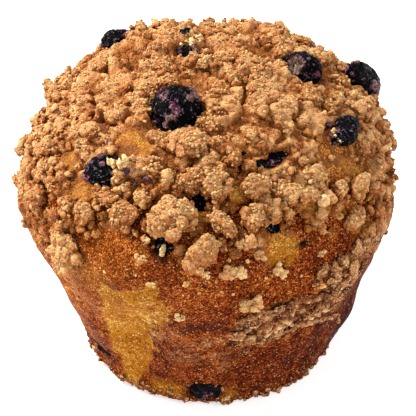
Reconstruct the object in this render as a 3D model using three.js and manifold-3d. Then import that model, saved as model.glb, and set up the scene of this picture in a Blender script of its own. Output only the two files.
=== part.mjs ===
// A bakery muffin with blueberries and a crumb topping, in millimetres, +Z up.
// The origin is the middle of the flat base. The front is towards -Y.
// The cake is one solid with its crumbs baked on, and each berry sits in a socket of its own.
import * as THREE from "three";
import { mergeVertices } from "three/addons/utils/BufferGeometryUtils.js";
import Module from "manifold-3d";

const wasm = await Module();
wasm.setup();

// Driving dimensions of the bare cake.
const BASE_RADIUS = 30.8;
const BASE_EDGE = 2.5; // round of the edge between base and wall
const RIM_RADIUS = 44.5; // widest ring of the crown
const RIM_HEIGHT = 46;
const CROWN_RISE = 32.5; // from the rim to the top
const WALL_FLARE = 1.5; // how late the wall turns outwards
const CROWN_FULLNESS = 2.3; // 2 is an ellipse, more is boxier
const CENTRE_HEIGHT = 40; // relief pushes away from this point on the axis
const OUTLINE_MIDDLE = new THREE.Vector2(-0.76, 0.48); // middle of the crumbed outline before it is centred

const EDGE_STEPS = 2;
const WALL_STEPS = 10;
const CROWN_STEPS = 10;
const ROUND_STEPS = 52;

const SOCKET_GAP = 0.3; // clear space round each berry

// Swells and hollows of the cake. A place is an azimuth in degrees (0 is +X, -90 the front) and a climb:
// 0 at the base, 1 at the rim and 2 at the top. Reach and height are in millimetres.
const SWELLS = [
  { azimuth: -178, climb: 0.9, reach: 13, height: 2.2 }, // left shoulder
  { azimuth: -150, climb: 1.1, reach: 11, height: 1.2 },
  { azimuth: 168, climb: 1.35, reach: 12, height: -1.3 },
  { azimuth: -5, climb: 1.05, reach: 14, height: 0.8 }, // right shoulder
  { azimuth: -18, climb: 0.3, reach: 11, height: 1.9 }, // right of the wall
  { azimuth: -50, climb: 0.14, reach: 9, height: 1.1 },
  { azimuth: -113, climb: 1.0, reach: 9, height: 1.7 }, // lobe that hangs over the pale channel
  { azimuth: -88, climb: 0.95, reach: 12, height: 0.9 },
  { azimuth: -114, climb: 0.62, reach: 6.5, height: -1.9 }, // pale channel, from the lobe to the base
  { azimuth: -117, climb: 0.4, reach: 6.5, height: -1.6 },
  { azimuth: -120, climb: 0.18, reach: 6, height: -1.2 },
  { azimuth: -138, climb: 0.4, reach: 6, height: 1.2 }, // ridge beside the channel
  { azimuth: -104, climb: 1.19, reach: 5, height: -1.8 }, // hollows that berries look out of
  { azimuth: -66, climb: 1.5, reach: 5, height: -1.6 },
  { azimuth: -92, climb: 1.38, reach: 5, height: -1.4 },
  { azimuth: 60, climb: 1.3, reach: 15, height: 1.4 }, // back of the crown
  { azimuth: 118, climb: 1.1, reach: 12, height: 1.1 },
  { azimuth: 95, climb: 0.55, reach: 9, height: -1.2 },
];

// The torn ledge: it climbs round the front right, where the crown broke away from its paper case.
const LEDGE = { from: -84, to: -14, startClimb: 0.5, endClimb: 1.02, depth: 1.5, sharpness: 0.045 };

// Where the topping ends. It comes down to the rim, and stops higher over the bare crust in front.
const TOPPING_EDGE = { climb: 0.99, bareAzimuth: -98, bareSpan: 44, bareRise: 0.2 };

// Patches of crust that the topping leaves bare.
const BARE_PATCHES = [
  { azimuth: -135, climb: 1.6, reach: 5.5 },
  { azimuth: -33, climb: 1.32, reach: 5.5 },
  { azimuth: -66, climb: 1.17, reach: 5 },
];

// The plain forms that crumbs and berries are made from.
const ROUND_PEBBLE = new THREE.DodecahedronGeometry(1, 0);
const SHARP_PEBBLE = new THREE.IcosahedronGeometry(1, 0);
const BERRY_FORM = new THREE.IcosahedronGeometry(1, 1);

// Crumb sizes, largest first. Radii are in millimetres, and each kind is spread on a spiral of its own.
const CRUMBS = [
  { count: 86, radius: [3.6, 5.4], flatness: 0.66, form: ROUND_PEBBLE, sink: 0.22, lowest: 0, seed: 1 },
  { count: 80, radius: [1.9, 2.7], flatness: 0.85, form: SHARP_PEBBLE, sink: 0.05, lowest: 0, seed: 2 },
  { count: 34, radius: [1.0, 1.4], flatness: 0.85, form: SHARP_PEBBLE, sink: 0.1, lowest: -0.2, seed: 3 },
];
const CRUMB_ROUGHNESS = 0.16;
const CRUMB_CLEARANCE = 0.8; // from a berry, as a share of the crumb's radius

// Berries: place on the cake, size (length, width, depth), how far they stand out of it, and their turn
// about the surface's normal in degrees.
const BERRIES = [
  { name: "berry_crest", azimuth: 133, climb: 1.5, size: [9, 7.4, 6], proud: 4.2, turn: 30 },
  { name: "berry_crushed", azimuth: 121, climb: 1.885, size: [8, 7, 5], proud: 1.6, turn: 70 },
  { name: "berry_large", azimuth: -114.5, climb: 1.79, size: [12.4, 11.8, 8.5], proud: 3.6, turn: 20 },
  { name: "berry_left", azimuth: -131.5, climb: 1.42, size: [9.2, 8.2, 7], proud: 2.6, turn: 60 },
  { name: "berry_back_right", azimuth: 14, climb: 1.71, size: [10.2, 9.4, 7], proud: 3.4, turn: 10 },
  { name: "berry_edge_right", azimuth: 21, climb: 1.35, size: [12.2, 8.6, 8], proud: 5.2, turn: 110 },
  { name: "berry_right", azimuth: -22, climb: 1.47, size: [10.4, 7.4, 7], proud: 3.2, turn: 65 },
  { name: "berry_hidden", azimuth: -92, climb: 1.38, size: [7.5, 7, 6], proud: 0.9, turn: 0 },
  { name: "berry_crevice", azimuth: -60.5, climb: 1.53, size: [8.5, 6.5, 6], proud: 1.0, turn: 30 },
  { name: "berry_hollow", azimuth: -104, climb: 1.165, size: [8.5, 7.5, 7], proud: 1.0, turn: 40 },
  { name: "berry_speck", azimuth: -69.5, climb: 1.24, size: [5.5, 4.6, 4.4], proud: 1.0, turn: 0 },
  { name: "berry_base", azimuth: -91.5, climb: 0.125, size: [9.6, 5.6, 6], proud: 0.8, turn: 2 },
  { name: "berry_base_left", azimuth: -146, climb: 0.17, size: [7.6, 5, 5], proud: 0.9, turn: 60 },
  { name: "berry_rear", azimuth: 72, climb: 1.22, size: [10.5, 9.6, 7.5], proud: 3.2, turn: 15 },
  { name: "berry_rear_left", azimuth: 118, climb: 1.1, size: [9.8, 8.8, 7], proud: 2.8, turn: 50 },
];
const BERRY_WRINKLE = 0.035;

const CAKE_MATERIAL = new THREE.MeshStandardMaterial({ color: 0xc48a4c, roughness: 0.85, metalness: 0 });
const BERRY_MATERIAL = new THREE.MeshStandardMaterial({ color: 0x26232f, roughness: 0.55, metalness: 0 });

const LADDER_STEPS = 300;
const GOLDEN_ANGLE = Math.PI * (3 - Math.sqrt(5));
const DEGREE = Math.PI / 180;

// A repeatable draw from 0 to 1, from a seed and two whole numbers.
function draw(seed, index, channel) {
  const turned = Math.sin(seed * 91.17 + index * 12.9898 + channel * 78.233) * 43758.5453;
  return turned - Math.floor(turned);
}

// Smooth unevenness from about -1 to 1, with the given wavelength in millimetres.
function unevenness(point, wavelength) {
  const k = (2 * Math.PI) / wavelength;
  const a = Math.sin(k * point.x + 1.3) * Math.cos(0.9 * k * point.y - 0.7);
  const b = Math.sin(1.1 * k * point.y + 2.1) * Math.cos(0.8 * k * point.z + 0.4);
  const c = Math.sin(0.95 * k * point.z - 1.9) * Math.cos(1.05 * k * point.x + 0.8);
  return (a + b + c) / 1.8;
}

// Radius and height of the smooth cake at a climb.
function profile(climb) {
  if (climb <= 1) {
    const height = RIM_HEIGHT * climb;
    const flare = Math.sin((Math.PI / 2) * climb ** WALL_FLARE);
    const aboveBase = Math.min(height / BASE_EDGE, 1);
    const edge = BASE_EDGE * (1 - Math.sqrt(1 - (1 - aboveBase) ** 2));
    return new THREE.Vector2(BASE_RADIUS + (RIM_RADIUS - BASE_RADIUS) * flare - edge, height);
  }
  const angle = Math.min(climb - 1, 1) * (Math.PI / 2);
  const power = 2 / CROWN_FULLNESS;
  const radius = RIM_RADIUS * Math.max(Math.cos(angle), 0) ** power;
  return new THREE.Vector2(radius, RIM_HEIGHT + CROWN_RISE * Math.sin(angle) ** power);
}

function smoothPoint(azimuth, climb) {
  const ring = profile(climb);
  return new THREE.Vector3(ring.x * Math.cos(azimuth * DEGREE), ring.x * Math.sin(azimuth * DEGREE), ring.y);
}

const swellCentres = SWELLS.map((swell) => smoothPoint(swell.azimuth, swell.climb));

// The step of the torn ledge, outwards above its line and inwards below it.
function ledgeRelief(azimuth, climb) {
  const along = (azimuth - LEDGE.from) / (LEDGE.to - LEDGE.from);
  if (along <= 0 || along >= 1) return 0;
  const line = LEDGE.startClimb + (LEDGE.endClimb - LEDGE.startClimb) * along;
  const fade = Math.min(1, 6 * along, 6 * (1 - along));
  const step = Math.tanh((climb - line) / LEDGE.sharpness);
  const near = Math.exp(-(((climb - line) / 0.22) ** 2));
  return LEDGE.depth * fade * near * step;
}

// How far the real surface lies outside the smooth one.
function relief(azimuth, climb, point) {
  let height = 0.5 * unevenness(point, 34) + 0.45 * unevenness(point, 15);
  height += ledgeRelief(azimuth, climb);
  SWELLS.forEach((swell, i) => {
    height += swell.height * Math.exp(-((point.distanceTo(swellCentres[i]) / swell.reach) ** 2));
  });
  const fromBase = Math.min(point.z / 4, 1); // the base stays flat
  return height * fromBase;
}

function outwards(point) {
  return new THREE.Vector3(point.x, point.y, point.z - CENTRE_HEIGHT).normalize();
}

// The cake's surface at a place, before crumbs.
function surfacePoint(azimuth, climb) {
  const point = smoothPoint(azimuth, climb);
  return point.addScaledVector(outwards(point), relief(azimuth, climb, point));
}

// The surface's normal at a place, from its neighbours.
function surfaceNormal(azimuth, climb) {
  const step = 0.02;
  const east = surfacePoint(azimuth + 2, climb).sub(surfacePoint(azimuth - 2, climb));
  const up = surfacePoint(azimuth, climb + step).sub(surfacePoint(azimuth, climb - step));
  return east.cross(up).normalize();
}

// A closed geometry as a manifold solid, with its shared vertices merged.
function solidOf(geometry) {
  const bare = new THREE.BufferGeometry().setAttribute("position", geometry.getAttribute("position"));
  if (geometry.index) bare.setIndex(geometry.index);
  const merged = mergeVertices(bare, 1e-4);
  return new wasm.Manifold(
    new wasm.Mesh({
      numProp: 3,
      vertProperties: new Float32Array(merged.getAttribute("position").array),
      triVerts: new Uint32Array(merged.index.array),
    }),
  );
}

function geometryOf(solid) {
  const mesh = solid.getMesh();
  return new THREE.BufferGeometry()
    .setAttribute("position", new THREE.BufferAttribute(new Float32Array(mesh.vertProperties), 3))
    .setIndex(new THREE.BufferAttribute(new Uint32Array(mesh.triVerts), 1));
}

// The bare cake: a turned profile, pushed out and in by its relief.
function bareCake() {
  const edge = BASE_EDGE / RIM_HEIGHT;
  const climbs = [];
  for (let i = 0; i < EDGE_STEPS; i += 1) climbs.push(edge * (i / EDGE_STEPS) ** 1.7);
  for (let i = 0; i < WALL_STEPS; i += 1) climbs.push(edge + (1 - edge) * (i / WALL_STEPS));
  for (let i = 0; i < CROWN_STEPS; i += 1) climbs.push(1 + (i / CROWN_STEPS) ** 0.9);
  const outline = [new THREE.Vector2(0, 0), ...climbs.map(profile), profile(2)];
  const geometry = new THREE.LatheGeometry(outline, ROUND_STEPS).rotateX(Math.PI / 2);
  const position = geometry.getAttribute("position");
  const rings = outline.length;
  for (let i = 0; i < position.count; i += 1) {
    const ring = i % rings;
    if (ring < 2) continue; // the flat base
    const point = new THREE.Vector3().fromBufferAttribute(position, i);
    const climb = ring === rings - 1 ? 2 : climbs[ring - 1];
    const azimuth = Math.atan2(point.y, point.x) / DEGREE;
    point.addScaledVector(outwards(point), relief(azimuth, climb, point));
    position.setXYZ(i, point.x, point.y, point.z);
  }
  return solidOf(geometry);
}

// A lumpy pebble of the given radii, standing on the surface at a place.
function pebble(place, radii, turn, form, roughness, seed) {
  const bare = new THREE.BufferGeometry().setAttribute("position", form.getAttribute("position").clone());
  const geometry = mergeVertices(bare, 1e-4);
  const position = geometry.getAttribute("position");
  const facing = new THREE.Quaternion().setFromUnitVectors(new THREE.Vector3(0, 0, 1), place.normal);
  const spin = new THREE.Quaternion().setFromAxisAngle(new THREE.Vector3(0, 0, 1), turn * DEGREE);
  for (let i = 0; i < position.count; i += 1) {
    const point = new THREE.Vector3().fromBufferAttribute(position, i);
    point.multiplyScalar(1 + roughness * (2 * draw(seed, i, 5) - 1));
    point.multiply(radii).applyQuaternion(spin).applyQuaternion(facing).add(place.centre);
    position.setXYZ(i, point.x, point.y, point.z);
  }
  return solidOf(geometry);
}

function berryPlace(berry) {
  const normal = surfaceNormal(berry.azimuth, berry.climb);
  const centre = surfacePoint(berry.azimuth, berry.climb);
  centre.addScaledVector(normal, berry.proud - berry.size[2] / 2);
  return { centre, normal };
}

function berrySolid(berry, index, grow) {
  const [length, width, depth] = berry.size.map((across) => across / 2 + grow);
  const radii = new THREE.Vector3(length, width, depth);
  return pebble(berryPlace(berry), radii, berry.turn, BERRY_FORM, BERRY_WRINKLE, 40 + index);
}

// Whether the topping covers a place, or leaves the crust bare.
function hasTopping(azimuth, climb, point, lowest) {
  const fromBare = (azimuth - TOPPING_EDGE.bareAzimuth) / TOPPING_EDGE.bareSpan;
  const edge = TOPPING_EDGE.climb + TOPPING_EDGE.bareRise * Math.exp(-(fromBare ** 2));
  if (climb < edge + lowest) return false;
  return BARE_PATCHES.every(
    (patch) => surfacePoint(patch.azimuth, patch.climb).distanceTo(point) > patch.reach,
  );
}

// Finds the climb that has a given share of the surface above a starting climb below it.
function areaLadder(start) {
  const rise = (2 - start) / LADDER_STEPS;
  const rungs = [];
  let area = 0;
  for (let i = 0; i < LADDER_STEPS; i += 1) {
    const climb = start + rise * (i + 0.5);
    area += profile(climb).x * profile(climb - rise / 2).distanceTo(profile(climb + rise / 2));
    rungs.push({ climb, area });
  }
  return (share) => rungs.find((rung) => rung.area >= share * area).climb;
}

// The crumbs of one size, spread evenly on a spiral from the rim to the top.
function crumbsOf(kind) {
  const climbAt = areaLadder(1 + kind.lowest);
  const solids = [];
  for (let i = 0; i < kind.count; i += 1) {
    const climb = climbAt((i + 0.1 + 0.8 * draw(kind.seed, i, 0)) / kind.count);
    const turned = (i * GOLDEN_ANGLE) / DEGREE + 24 * draw(kind.seed, i, 1) + 50 * kind.seed;
    const azimuth = (((turned % 360) + 360) % 360) - 180;
    const point = surfacePoint(azimuth, climb);
    const radius = kind.radius[0] + (kind.radius[1] - kind.radius[0]) * draw(kind.seed, i, 2);
    if (!hasTopping(azimuth, climb, point, kind.lowest)) continue;
    const crowded = BERRIES.some((berry) => {
      const reach = Math.max(...berry.size) / 2 + CRUMB_CLEARANCE * radius;
      return surfacePoint(berry.azimuth, berry.climb).distanceTo(point) < reach;
    });
    if (crowded) continue;
    const normal = surfaceNormal(azimuth, Math.min(climb, 1.95));
    const centre = point.addScaledVector(normal, -kind.sink * radius);
    const stretch = 0.8 + 0.45 * draw(kind.seed, i, 3);
    const radii = new THREE.Vector3(radius * stretch, radius / stretch, radius * kind.flatness);
    const turn = 360 * draw(kind.seed, i, 4);
    solids.push(pebble({ centre, normal }, radii, turn, kind.form, CRUMB_ROUGHNESS, 100 * kind.seed + i));
  }
  return solids;
}

// The cake with its crumbs joined on and a socket cut for each berry. Loose scraps are dropped.
function crumbedCake() {
  const crumbs = CRUMBS.flatMap(crumbsOf);
  const joined = crumbs.reduce((cake, crumb) => cake.add(crumb), bareCake());
  const sockets = BERRIES.map((berry, i) => berrySolid(berry, i, SOCKET_GAP));
  const cut = sockets.reduce((cake, socket) => cake.subtract(socket), joined);
  return cut.decompose().reduce((largest, piece) => (piece.volume() > largest.volume() ? piece : largest));
}

function namedMesh(name, solid, material) {
  const mesh = new THREE.Mesh(geometryOf(solid), material);
  mesh.name = name;
  return mesh;
}

const muffin = new THREE.Group();
muffin.add(namedMesh("muffin", crumbedCake(), CAKE_MATERIAL));
BERRIES.forEach((berry, i) => muffin.add(namedMesh(berry.name, berrySolid(berry, i, 0), BERRY_MATERIAL)));
muffin.position.set(-OUTLINE_MIDDLE.x, -OUTLINE_MIDDLE.y, 0);

export default muffin;
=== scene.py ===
import math

import bpy
import bmesh
import numpy as np
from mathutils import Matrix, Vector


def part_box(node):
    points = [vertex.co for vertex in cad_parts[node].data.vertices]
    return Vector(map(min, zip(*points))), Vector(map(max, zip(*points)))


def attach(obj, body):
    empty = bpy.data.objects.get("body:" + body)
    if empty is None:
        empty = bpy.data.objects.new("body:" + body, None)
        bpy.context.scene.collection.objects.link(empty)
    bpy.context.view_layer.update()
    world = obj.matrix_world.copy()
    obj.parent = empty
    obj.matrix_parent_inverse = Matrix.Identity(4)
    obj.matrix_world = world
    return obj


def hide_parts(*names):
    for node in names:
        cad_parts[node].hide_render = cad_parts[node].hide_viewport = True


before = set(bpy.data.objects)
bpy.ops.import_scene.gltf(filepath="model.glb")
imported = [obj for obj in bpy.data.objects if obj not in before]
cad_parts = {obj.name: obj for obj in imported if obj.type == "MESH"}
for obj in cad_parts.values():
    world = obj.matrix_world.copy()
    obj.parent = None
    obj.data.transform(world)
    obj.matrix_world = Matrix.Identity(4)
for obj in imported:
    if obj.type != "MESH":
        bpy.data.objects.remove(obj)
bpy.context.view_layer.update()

# The cake's shape is worked out in millimetres, about the axis of the turned cake. A place on it is an
# azimuth in degrees (0 is +X, -90 the front) and a climb: 0 at the base, 1 at the rim and 2 at the top.
MM = 0.001
DEGREE = math.pi / 180
SEED = 11
BASE_RADIUS = 30.8
BASE_EDGE = 2.5
RIM_RADIUS = 44.5
RIM_HEIGHT = 46
CROWN_RISE = 32.5
WALL_FLARE = 1.5
CROWN_FULLNESS = 2.3
CENTRE = np.array([0, 0, 40.0])
OUTLINE_MIDDLE = np.array([-0.76, 0.48, 0])
SOCKET_GAP = 0.1
SCATTER_DEPTH = 0.0007
GRAIN_RELIEF = 0.0009

# The camera looks down by this angle from the front; then its way up and the way back to it.
VIEW_RISE = 35 * DEGREE
VIEW_UP = np.array([0, math.sin(VIEW_RISE), math.cos(VIEW_RISE)])
VIEW_BACK = np.array([0, -math.cos(VIEW_RISE), math.sin(VIEW_RISE)])

# Broad swells and dents: azimuth, climb, reach and height in millimetres.
SWELLS = np.array([
    (-178, 0.9, 13, 2.2), (-150, 1.1, 11, 1.2), (168, 1.35, 12, -1.3), (-5, 1.05, 14, 0.8),
    (-18, 0.3, 11, 1.9), (-50, 0.14, 9, 1.1), (-113, 1.0, 9, 1.7), (-88, 0.95, 12, 0.9),
    (-114, 0.62, 6.5, -1.9), (-117, 0.4, 6.5, -1.6), (-120, 0.18, 6, -1.2), (-138, 0.4, 6, 1.2),
    (-104, 1.19, 5, -1.8), (-66, 1.5, 5, -1.6), (-92, 1.38, 5, -1.4), (60, 1.3, 15, 1.4),
    (118, 1.1, 12, 1.1), (95, 0.55, 9, -1.2)])

# Patches of the wall where the crust is chipped: azimuth, climb, width, height.
CHIPPED = [
    (-149, 0.82, 6, 0.1), (-143, 0.66, 5, 0.09), (152, 0.62, 9, 0.08), (141, 0.52, 8, 0.06),
    (62, 0.5, 7, 0.12), (100, 0.26, 11, 0.05), (-168, 0.36, 7, 0.09), (22, 0.3, 9, 0.06),
    (12, 0.62, 6, 0.05), (-160, 0.78, 6, 0.05), (85, 0.74, 8, 0.04)]

# The step of the torn ledge: from one azimuth and climb to another.
LEDGE_FROM, LEDGE_TO = -84, -14
LEDGE_START, LEDGE_END = 0.5, 1.02
LEDGE_DEPTH, LEDGE_REACH, LEDGE_SHARPNESS = 1.5, 0.22, 0.045

# Lower and upper edge of the torn band at the ledge: azimuth, climb.
TORN_LOWER = [(-86, 0.56), (-78, 0.48), (-69, 0.47), (-61, 0.46), (-54, 0.5), (-46, 0.52), (-38, 0.56),
              (-31, 0.66), (-18, 0.78), (-8, 0.84), (6, 0.88)]
TORN_UPPER = [(-86, 0.62), (-80, 0.79), (-73, 0.85), (-64, 0.85), (-58, 0.88), (-52, 0.96), (-46, 1.0),
              (-32, 1.0), (-21, 0.96), (-8, 0.93), (6, 0.9)]

# The golden channel at the front left. Its top: azimuth, climb. Its sides: climb, azimuth.
CHANNEL_TOP = [(-124, 0.917), (-120.5, 0.891), (-115.5, 0.906), (-111, 0.946), (-108.5, 0.986), (-106, 1.014)]
CHANNEL_LEFT = [(0.08, -132.5), (0.25, -133), (0.4, -130), (0.56, -129.5), (0.77, -125.5), (0.92, -124)]
CHANNEL_RIGHT = [(0.09, -121), (0.21, -117.5), (0.32, -115.5), (0.49, -110), (0.61, -108), (0.76, -102.5),
                 (0.83, -103), (1.0, -105)]

# How many millimetres the cake lies back under its crumbs, on the crown and at the rim: azimuth, depth.
CROWN_BACK = [(-180, 3.8), (-150, 2.6), (-90, 1.9), (-30, 1.7), (0, 1.8), (30, 1.9), (60, 2.0), (90, 2.6),
              (110, 1.4), (135, 0.3), (160, 2.6), (180, 3.8)]
RIM_BACK = [(-180, 1.7), (-155, 1.2), (-130, 0), (-60, 0), (-20, 1.5), (0, 2.3), (60, 1.4), (120, 0.8),
            (150, 1.0), (180, 1.7)]

# Spots that fade out all round: azimuth, climb, width, height, strength. RAISED is in millimetres; TOASTED,
# GILDED and STAINED colour the crust; LEDGE_CREVICE_SHADE puts painted shade in the crevices of the torn
# ledge;
# CRUMB_TONE_AND_SHADE makes the crumbs darker or lighter, partly their own tone and partly painted light and
# shade.
RAISED = [(-115.5, 1.0, 8, 0.07, 0.9), (-37, 0.33, 3.2, 0.12, 0.5), (-28, 0.38, 4, 0.16, -0.1)]
TOASTED = [(-115, 1.03, 9, 0.09, 0.04), (-115.5, 0.94, 9, 0.035, 0.2), (-92, 0.7, 13, 0.035, 0.25),
           (-120, 1.1, 9, 0.09, 0.16), (-114, 0.84, 9, 0.05, 0.07), (-62, 0.97, 8, 0.12, -0.08),
           (-28, 0.38, 5, 0.18, 0.35), (-37, 0.33, 3, 0.12, -0.15), (-109, 0.68, 5, 0.16, -0.08)]
LEDGE_CREVICE_SHADE = [(-52.5, 0.617, 3.5, 0.035, 0.6), (-38, 0.703, 2.2, 0.05, 0.6), (-44.5, 0.9, 1.6, 0.05, 0.6),
               (-57, 0.563, 3, 0.02, 0.6), (-61, 0.523, 2.5, 0.03, 0.6), (-45, 0.497, 3, 0.03, 0.6),
               (-40.5, 0.614, 2.5, 0.03, 0.6)]
GILDED = [(-105.5, 0.085, 4, 0.04, 0.9), (-80.5, 0.09, 3, 0.035, 0.9), (-112.5, 0.09, 4, 0.04, 0.9),
          (-127, 0.95, 12, 0.13, 0.24)]
STAINED = [(-68.5, 1.52, 3, 0.03, 0.8), (-93.5, 1.38, 3, 0.03, 0.9)]
CRUMB_TONE_AND_SHADE = [(-82, 1.6, 20, 0.12, 0.1), (-44, 1.3, 15, 0.2, -0.22), (-137, 1.02, 9, 0.1, -0.26),
           (-47, 1.6, 15, 0.12, -0.16), (-140, 1.6, 24, 0.2, 0.05), (-12, 1.1, 11, 0.16, 0.14)]

# A slanting crack under the topping: azimuth, climb, and degrees of azimuth for one of climb.
CRACK_AZIMUTH, CRACK_CLIMB, CRACK_SLANT = -60, 1.126, 60

# Lower edge of the topping: azimuth, climb.
TOPPING_EDGE = [(-180, 0.99), (-152, 0.93), (-140, 0.95), (-130, 1.1), (-118, 1.2), (-106, 1.15), (-96, 1.08),
                (-86, 1.14), (-74, 1.2), (-60, 1.2), (-48, 1.12), (-36, 1.06), (-22, 1.0), (0, 0.98),
                (60, 1.0), (120, 0.98), (180, 0.99)]

# Patches without crumbs: azimuth, climb, reach in millimetres, how golden.
BARE_PATCHES = np.array([
    (-128, 1.575, 4.8, 1), (-137, 1.28, 3.4, 0.9), (-79.5, 1.4, 2.4, 0.9), (-37, 1.41, 5.2, 0.85),
    (-31.5, 1.36, 5.2, 0.75), (-27, 1.33, 4.4, 0.5), (-67.3, 1.132, 4.6, 1), (85, 1.705, 4.0, 1),
    (66, 1.688, 3.2, 1), (-120, 1.11, 5.0, 0.15), (-113, 1.08, 4.0, 0.1), (20, 1.2, 4.0, 0.8),
    (140, 1.3, 4.0, 1), (-150, 1.36, 3, 0.8), (-54, 1.262, 1.9, 0.1), (-49, 1.243, 2.0, 0.1),
    (-44, 1.217, 2.0, 0.1), (-39, 1.19, 2.0, 0.1)])

# The clumps that stand out on the shown side: azimuth, climb, length, width, height, turn.
CLUMPS = [
    (-38.5, 1.8, 9.0, 7.3, 2.6, 0), (-74, 1.873, 6.0, 5.6, 2.2, 20), (-99.5, 1.625, 10.2, 8.4, 2.8, 15),
    (-49, 1.905, 5.5, 4.5, 2.0, 60), (-80, 1.55, 4.2, 3.9, 3.0, 0), (-73.5, 1.51, 4.4, 3.2, 2.6, -20),
    (-72.5, 1.417, 7.8, 5.4, 3.2, 12), (-87, 1.438, 7.6, 6.6, 3.2, 40), (-96.5, 1.458, 6.2, 7.4, 3.0, 80),
    (-101.5, 1.3, 11.5, 9.4, 3.9, -15), (-85.5, 1.265, 8.4, 4.2, 3.2, -38), (-76, 1.292, 6.8, 6.6, 3.4, 30),
    (-92, 1.155, 10.4, 6.0, 3.4, 58), (-118.5, 1.252, 7.2, 6.0, 2.8, 20), (-136, 1.01, 10.6, 9.8, 3.4, 10),
    (-153, 1.133, 7.6, 6.0, 2.8, 30), (-127, 1.308, 7.4, 4.6, 2.6, 10), (-160.5, 1.785, 6.4, 5.0, 2.0, 0),
    (-48.5, 1.397, 7.6, 5.0, 2.8, 0), (-33.5, 1.24, 6.8, 4.6, 2.8, 30), (-42, 1.14, 7.2, 4.6, 2.6, -15),
    (-21.5, 1.21, 6.0, 5.0, 2.6, 40), (-55.5, 1.32, 5.2, 6.2, 3.0, 70), (-17.5, 1.647, 6.6, 5.0, 2.2, 20),
    (-16, 1.558, 5.6, 4.6, 2.2, -10), (-37, 1.698, 6.0, 5.4, 2.4, 30), (171.5, 1.468, 6.6, 5.6, 2.2, 0),
    (-136, 1.705, 6.6, 5.0, 2.2, -20), (157, 1.593, 6.6, 5.6, 2.2, 50), (170, 1.863, 6.8, 5.6, 2.2, 10),
    (-158, 1.455, 6.6, 6.4, 2.4, 0), (-166, 1.268, 7.4, 5.6, 2.4, 30), (-164.5, 1.095, 7.4, 5.6, 2.4, 0)]

# Berries: azimuth, climb, size, turn, and how much purple flesh shows through the skin.
BERRIES = {
    "berry_crest": (133, 1.5, (9, 7.4, 6), 30, 0.25),
    "berry_crushed": (121, 1.885, (8, 7, 5), 70, 0.4),
    "berry_large": (-114.5, 1.79, (12.4, 11.8, 8.5), 20, 0.75),
    "berry_left": (-131.5, 1.42, (9.2, 8.2, 7), 60, 0.5),
    "berry_back_right": (14, 1.71, (10.2, 9.4, 7), 10, 0.3),
    "berry_edge_right": (21, 1.35, (12.2, 8.6, 8), 110, 0.55),
    "berry_right": (-22, 1.47, (10.4, 7.4, 7), 65, 0.3),
    "berry_hidden": (-92, 1.38, (7.5, 7, 6), 0, 0.0),
    "berry_crevice": (-60.5, 1.53, (8.5, 6.5, 6), 30, 0.0),
    "berry_hollow": (-104, 1.165, (8.5, 7.5, 7), 40, 0.0),
    "berry_speck": (-69.5, 1.24, (5.5, 4.6, 4.4), 0, 0.2),
    "berry_base": (-91.5, 0.125, (9.6, 5.6, 6), 2, 0.1),
    "berry_base_left": (-146, 0.17, (7.6, 5, 5), 60, 0.1),
    "berry_rear": (72, 1.22, (10.5, 9.6, 7.5), 15, 0.5),
    "berry_rear_left": (118, 1.1, (9.8, 8.8, 7), 50, 0.4),
}

# How many millimetres the crumbs come over the sides of a berry; below 0 they keep clear of it.
COVERED = {"berry_hidden": 0.3, "berry_crevice": 0.5, "berry_hollow": 0.6, "berry_speck": 0.4,
           "berry_left": 0.4, "berry_crushed": 0.3, "berry_crest": -0.4, "berry_edge_right": -0.6,
           "berry_back_right": -0.4}

# Berries whose skin differs from their solids: move along X, Y and Z in millimetres, stretch, turn.
SHOWN = {
    "berry_crest": ((0.4, 0, -0.9), (1.05, 1, 0.9), 0),
    "berry_crushed": ((0, -0.3, -0.9), (1.0, 0.9, 0.95), 0),
    "berry_large": ((-0.9, 0, -0.9), (0.93, 1.04, 1.35), 0),
    "berry_left": ((-0.7, 0.2, -0.9), (0.98, 0.86, 0.95), 0),
    "berry_back_right": ((1.2, -1.2, -0.8), (0.8, 0.98, 1.4), 0),
    "berry_edge_right": ((0.1, 0, -0.4), (1.5, 0.86, 0.9), 4),
    "berry_right": ((0.6, 0, -0.3), (1.18, 0.74, 0.85), -68),
    "berry_hidden": ((-0.8, 0.6, -1.1), (0.72, 0.75, 0.8), 0),
    "berry_crevice": ((-0.3, 0.8, -1.5), (1.2, 0.8, 0.85), -25),
    "berry_hollow": ((0.2, 0.1, -0.7), (0.95, 0.95, 0.95), 0),
    "berry_speck": ((0.2, 0.4, -1.2), (0.78, 0.78, 0.8), 0),
    "berry_base": ((-0.3, -0.1, 0.3), (0.97, 1.45, 1.1), 0),
    "berry_base_left": ((0.5, -0.8, 1.3), (1.35, 0.56, 1.1), -60),
}

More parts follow.
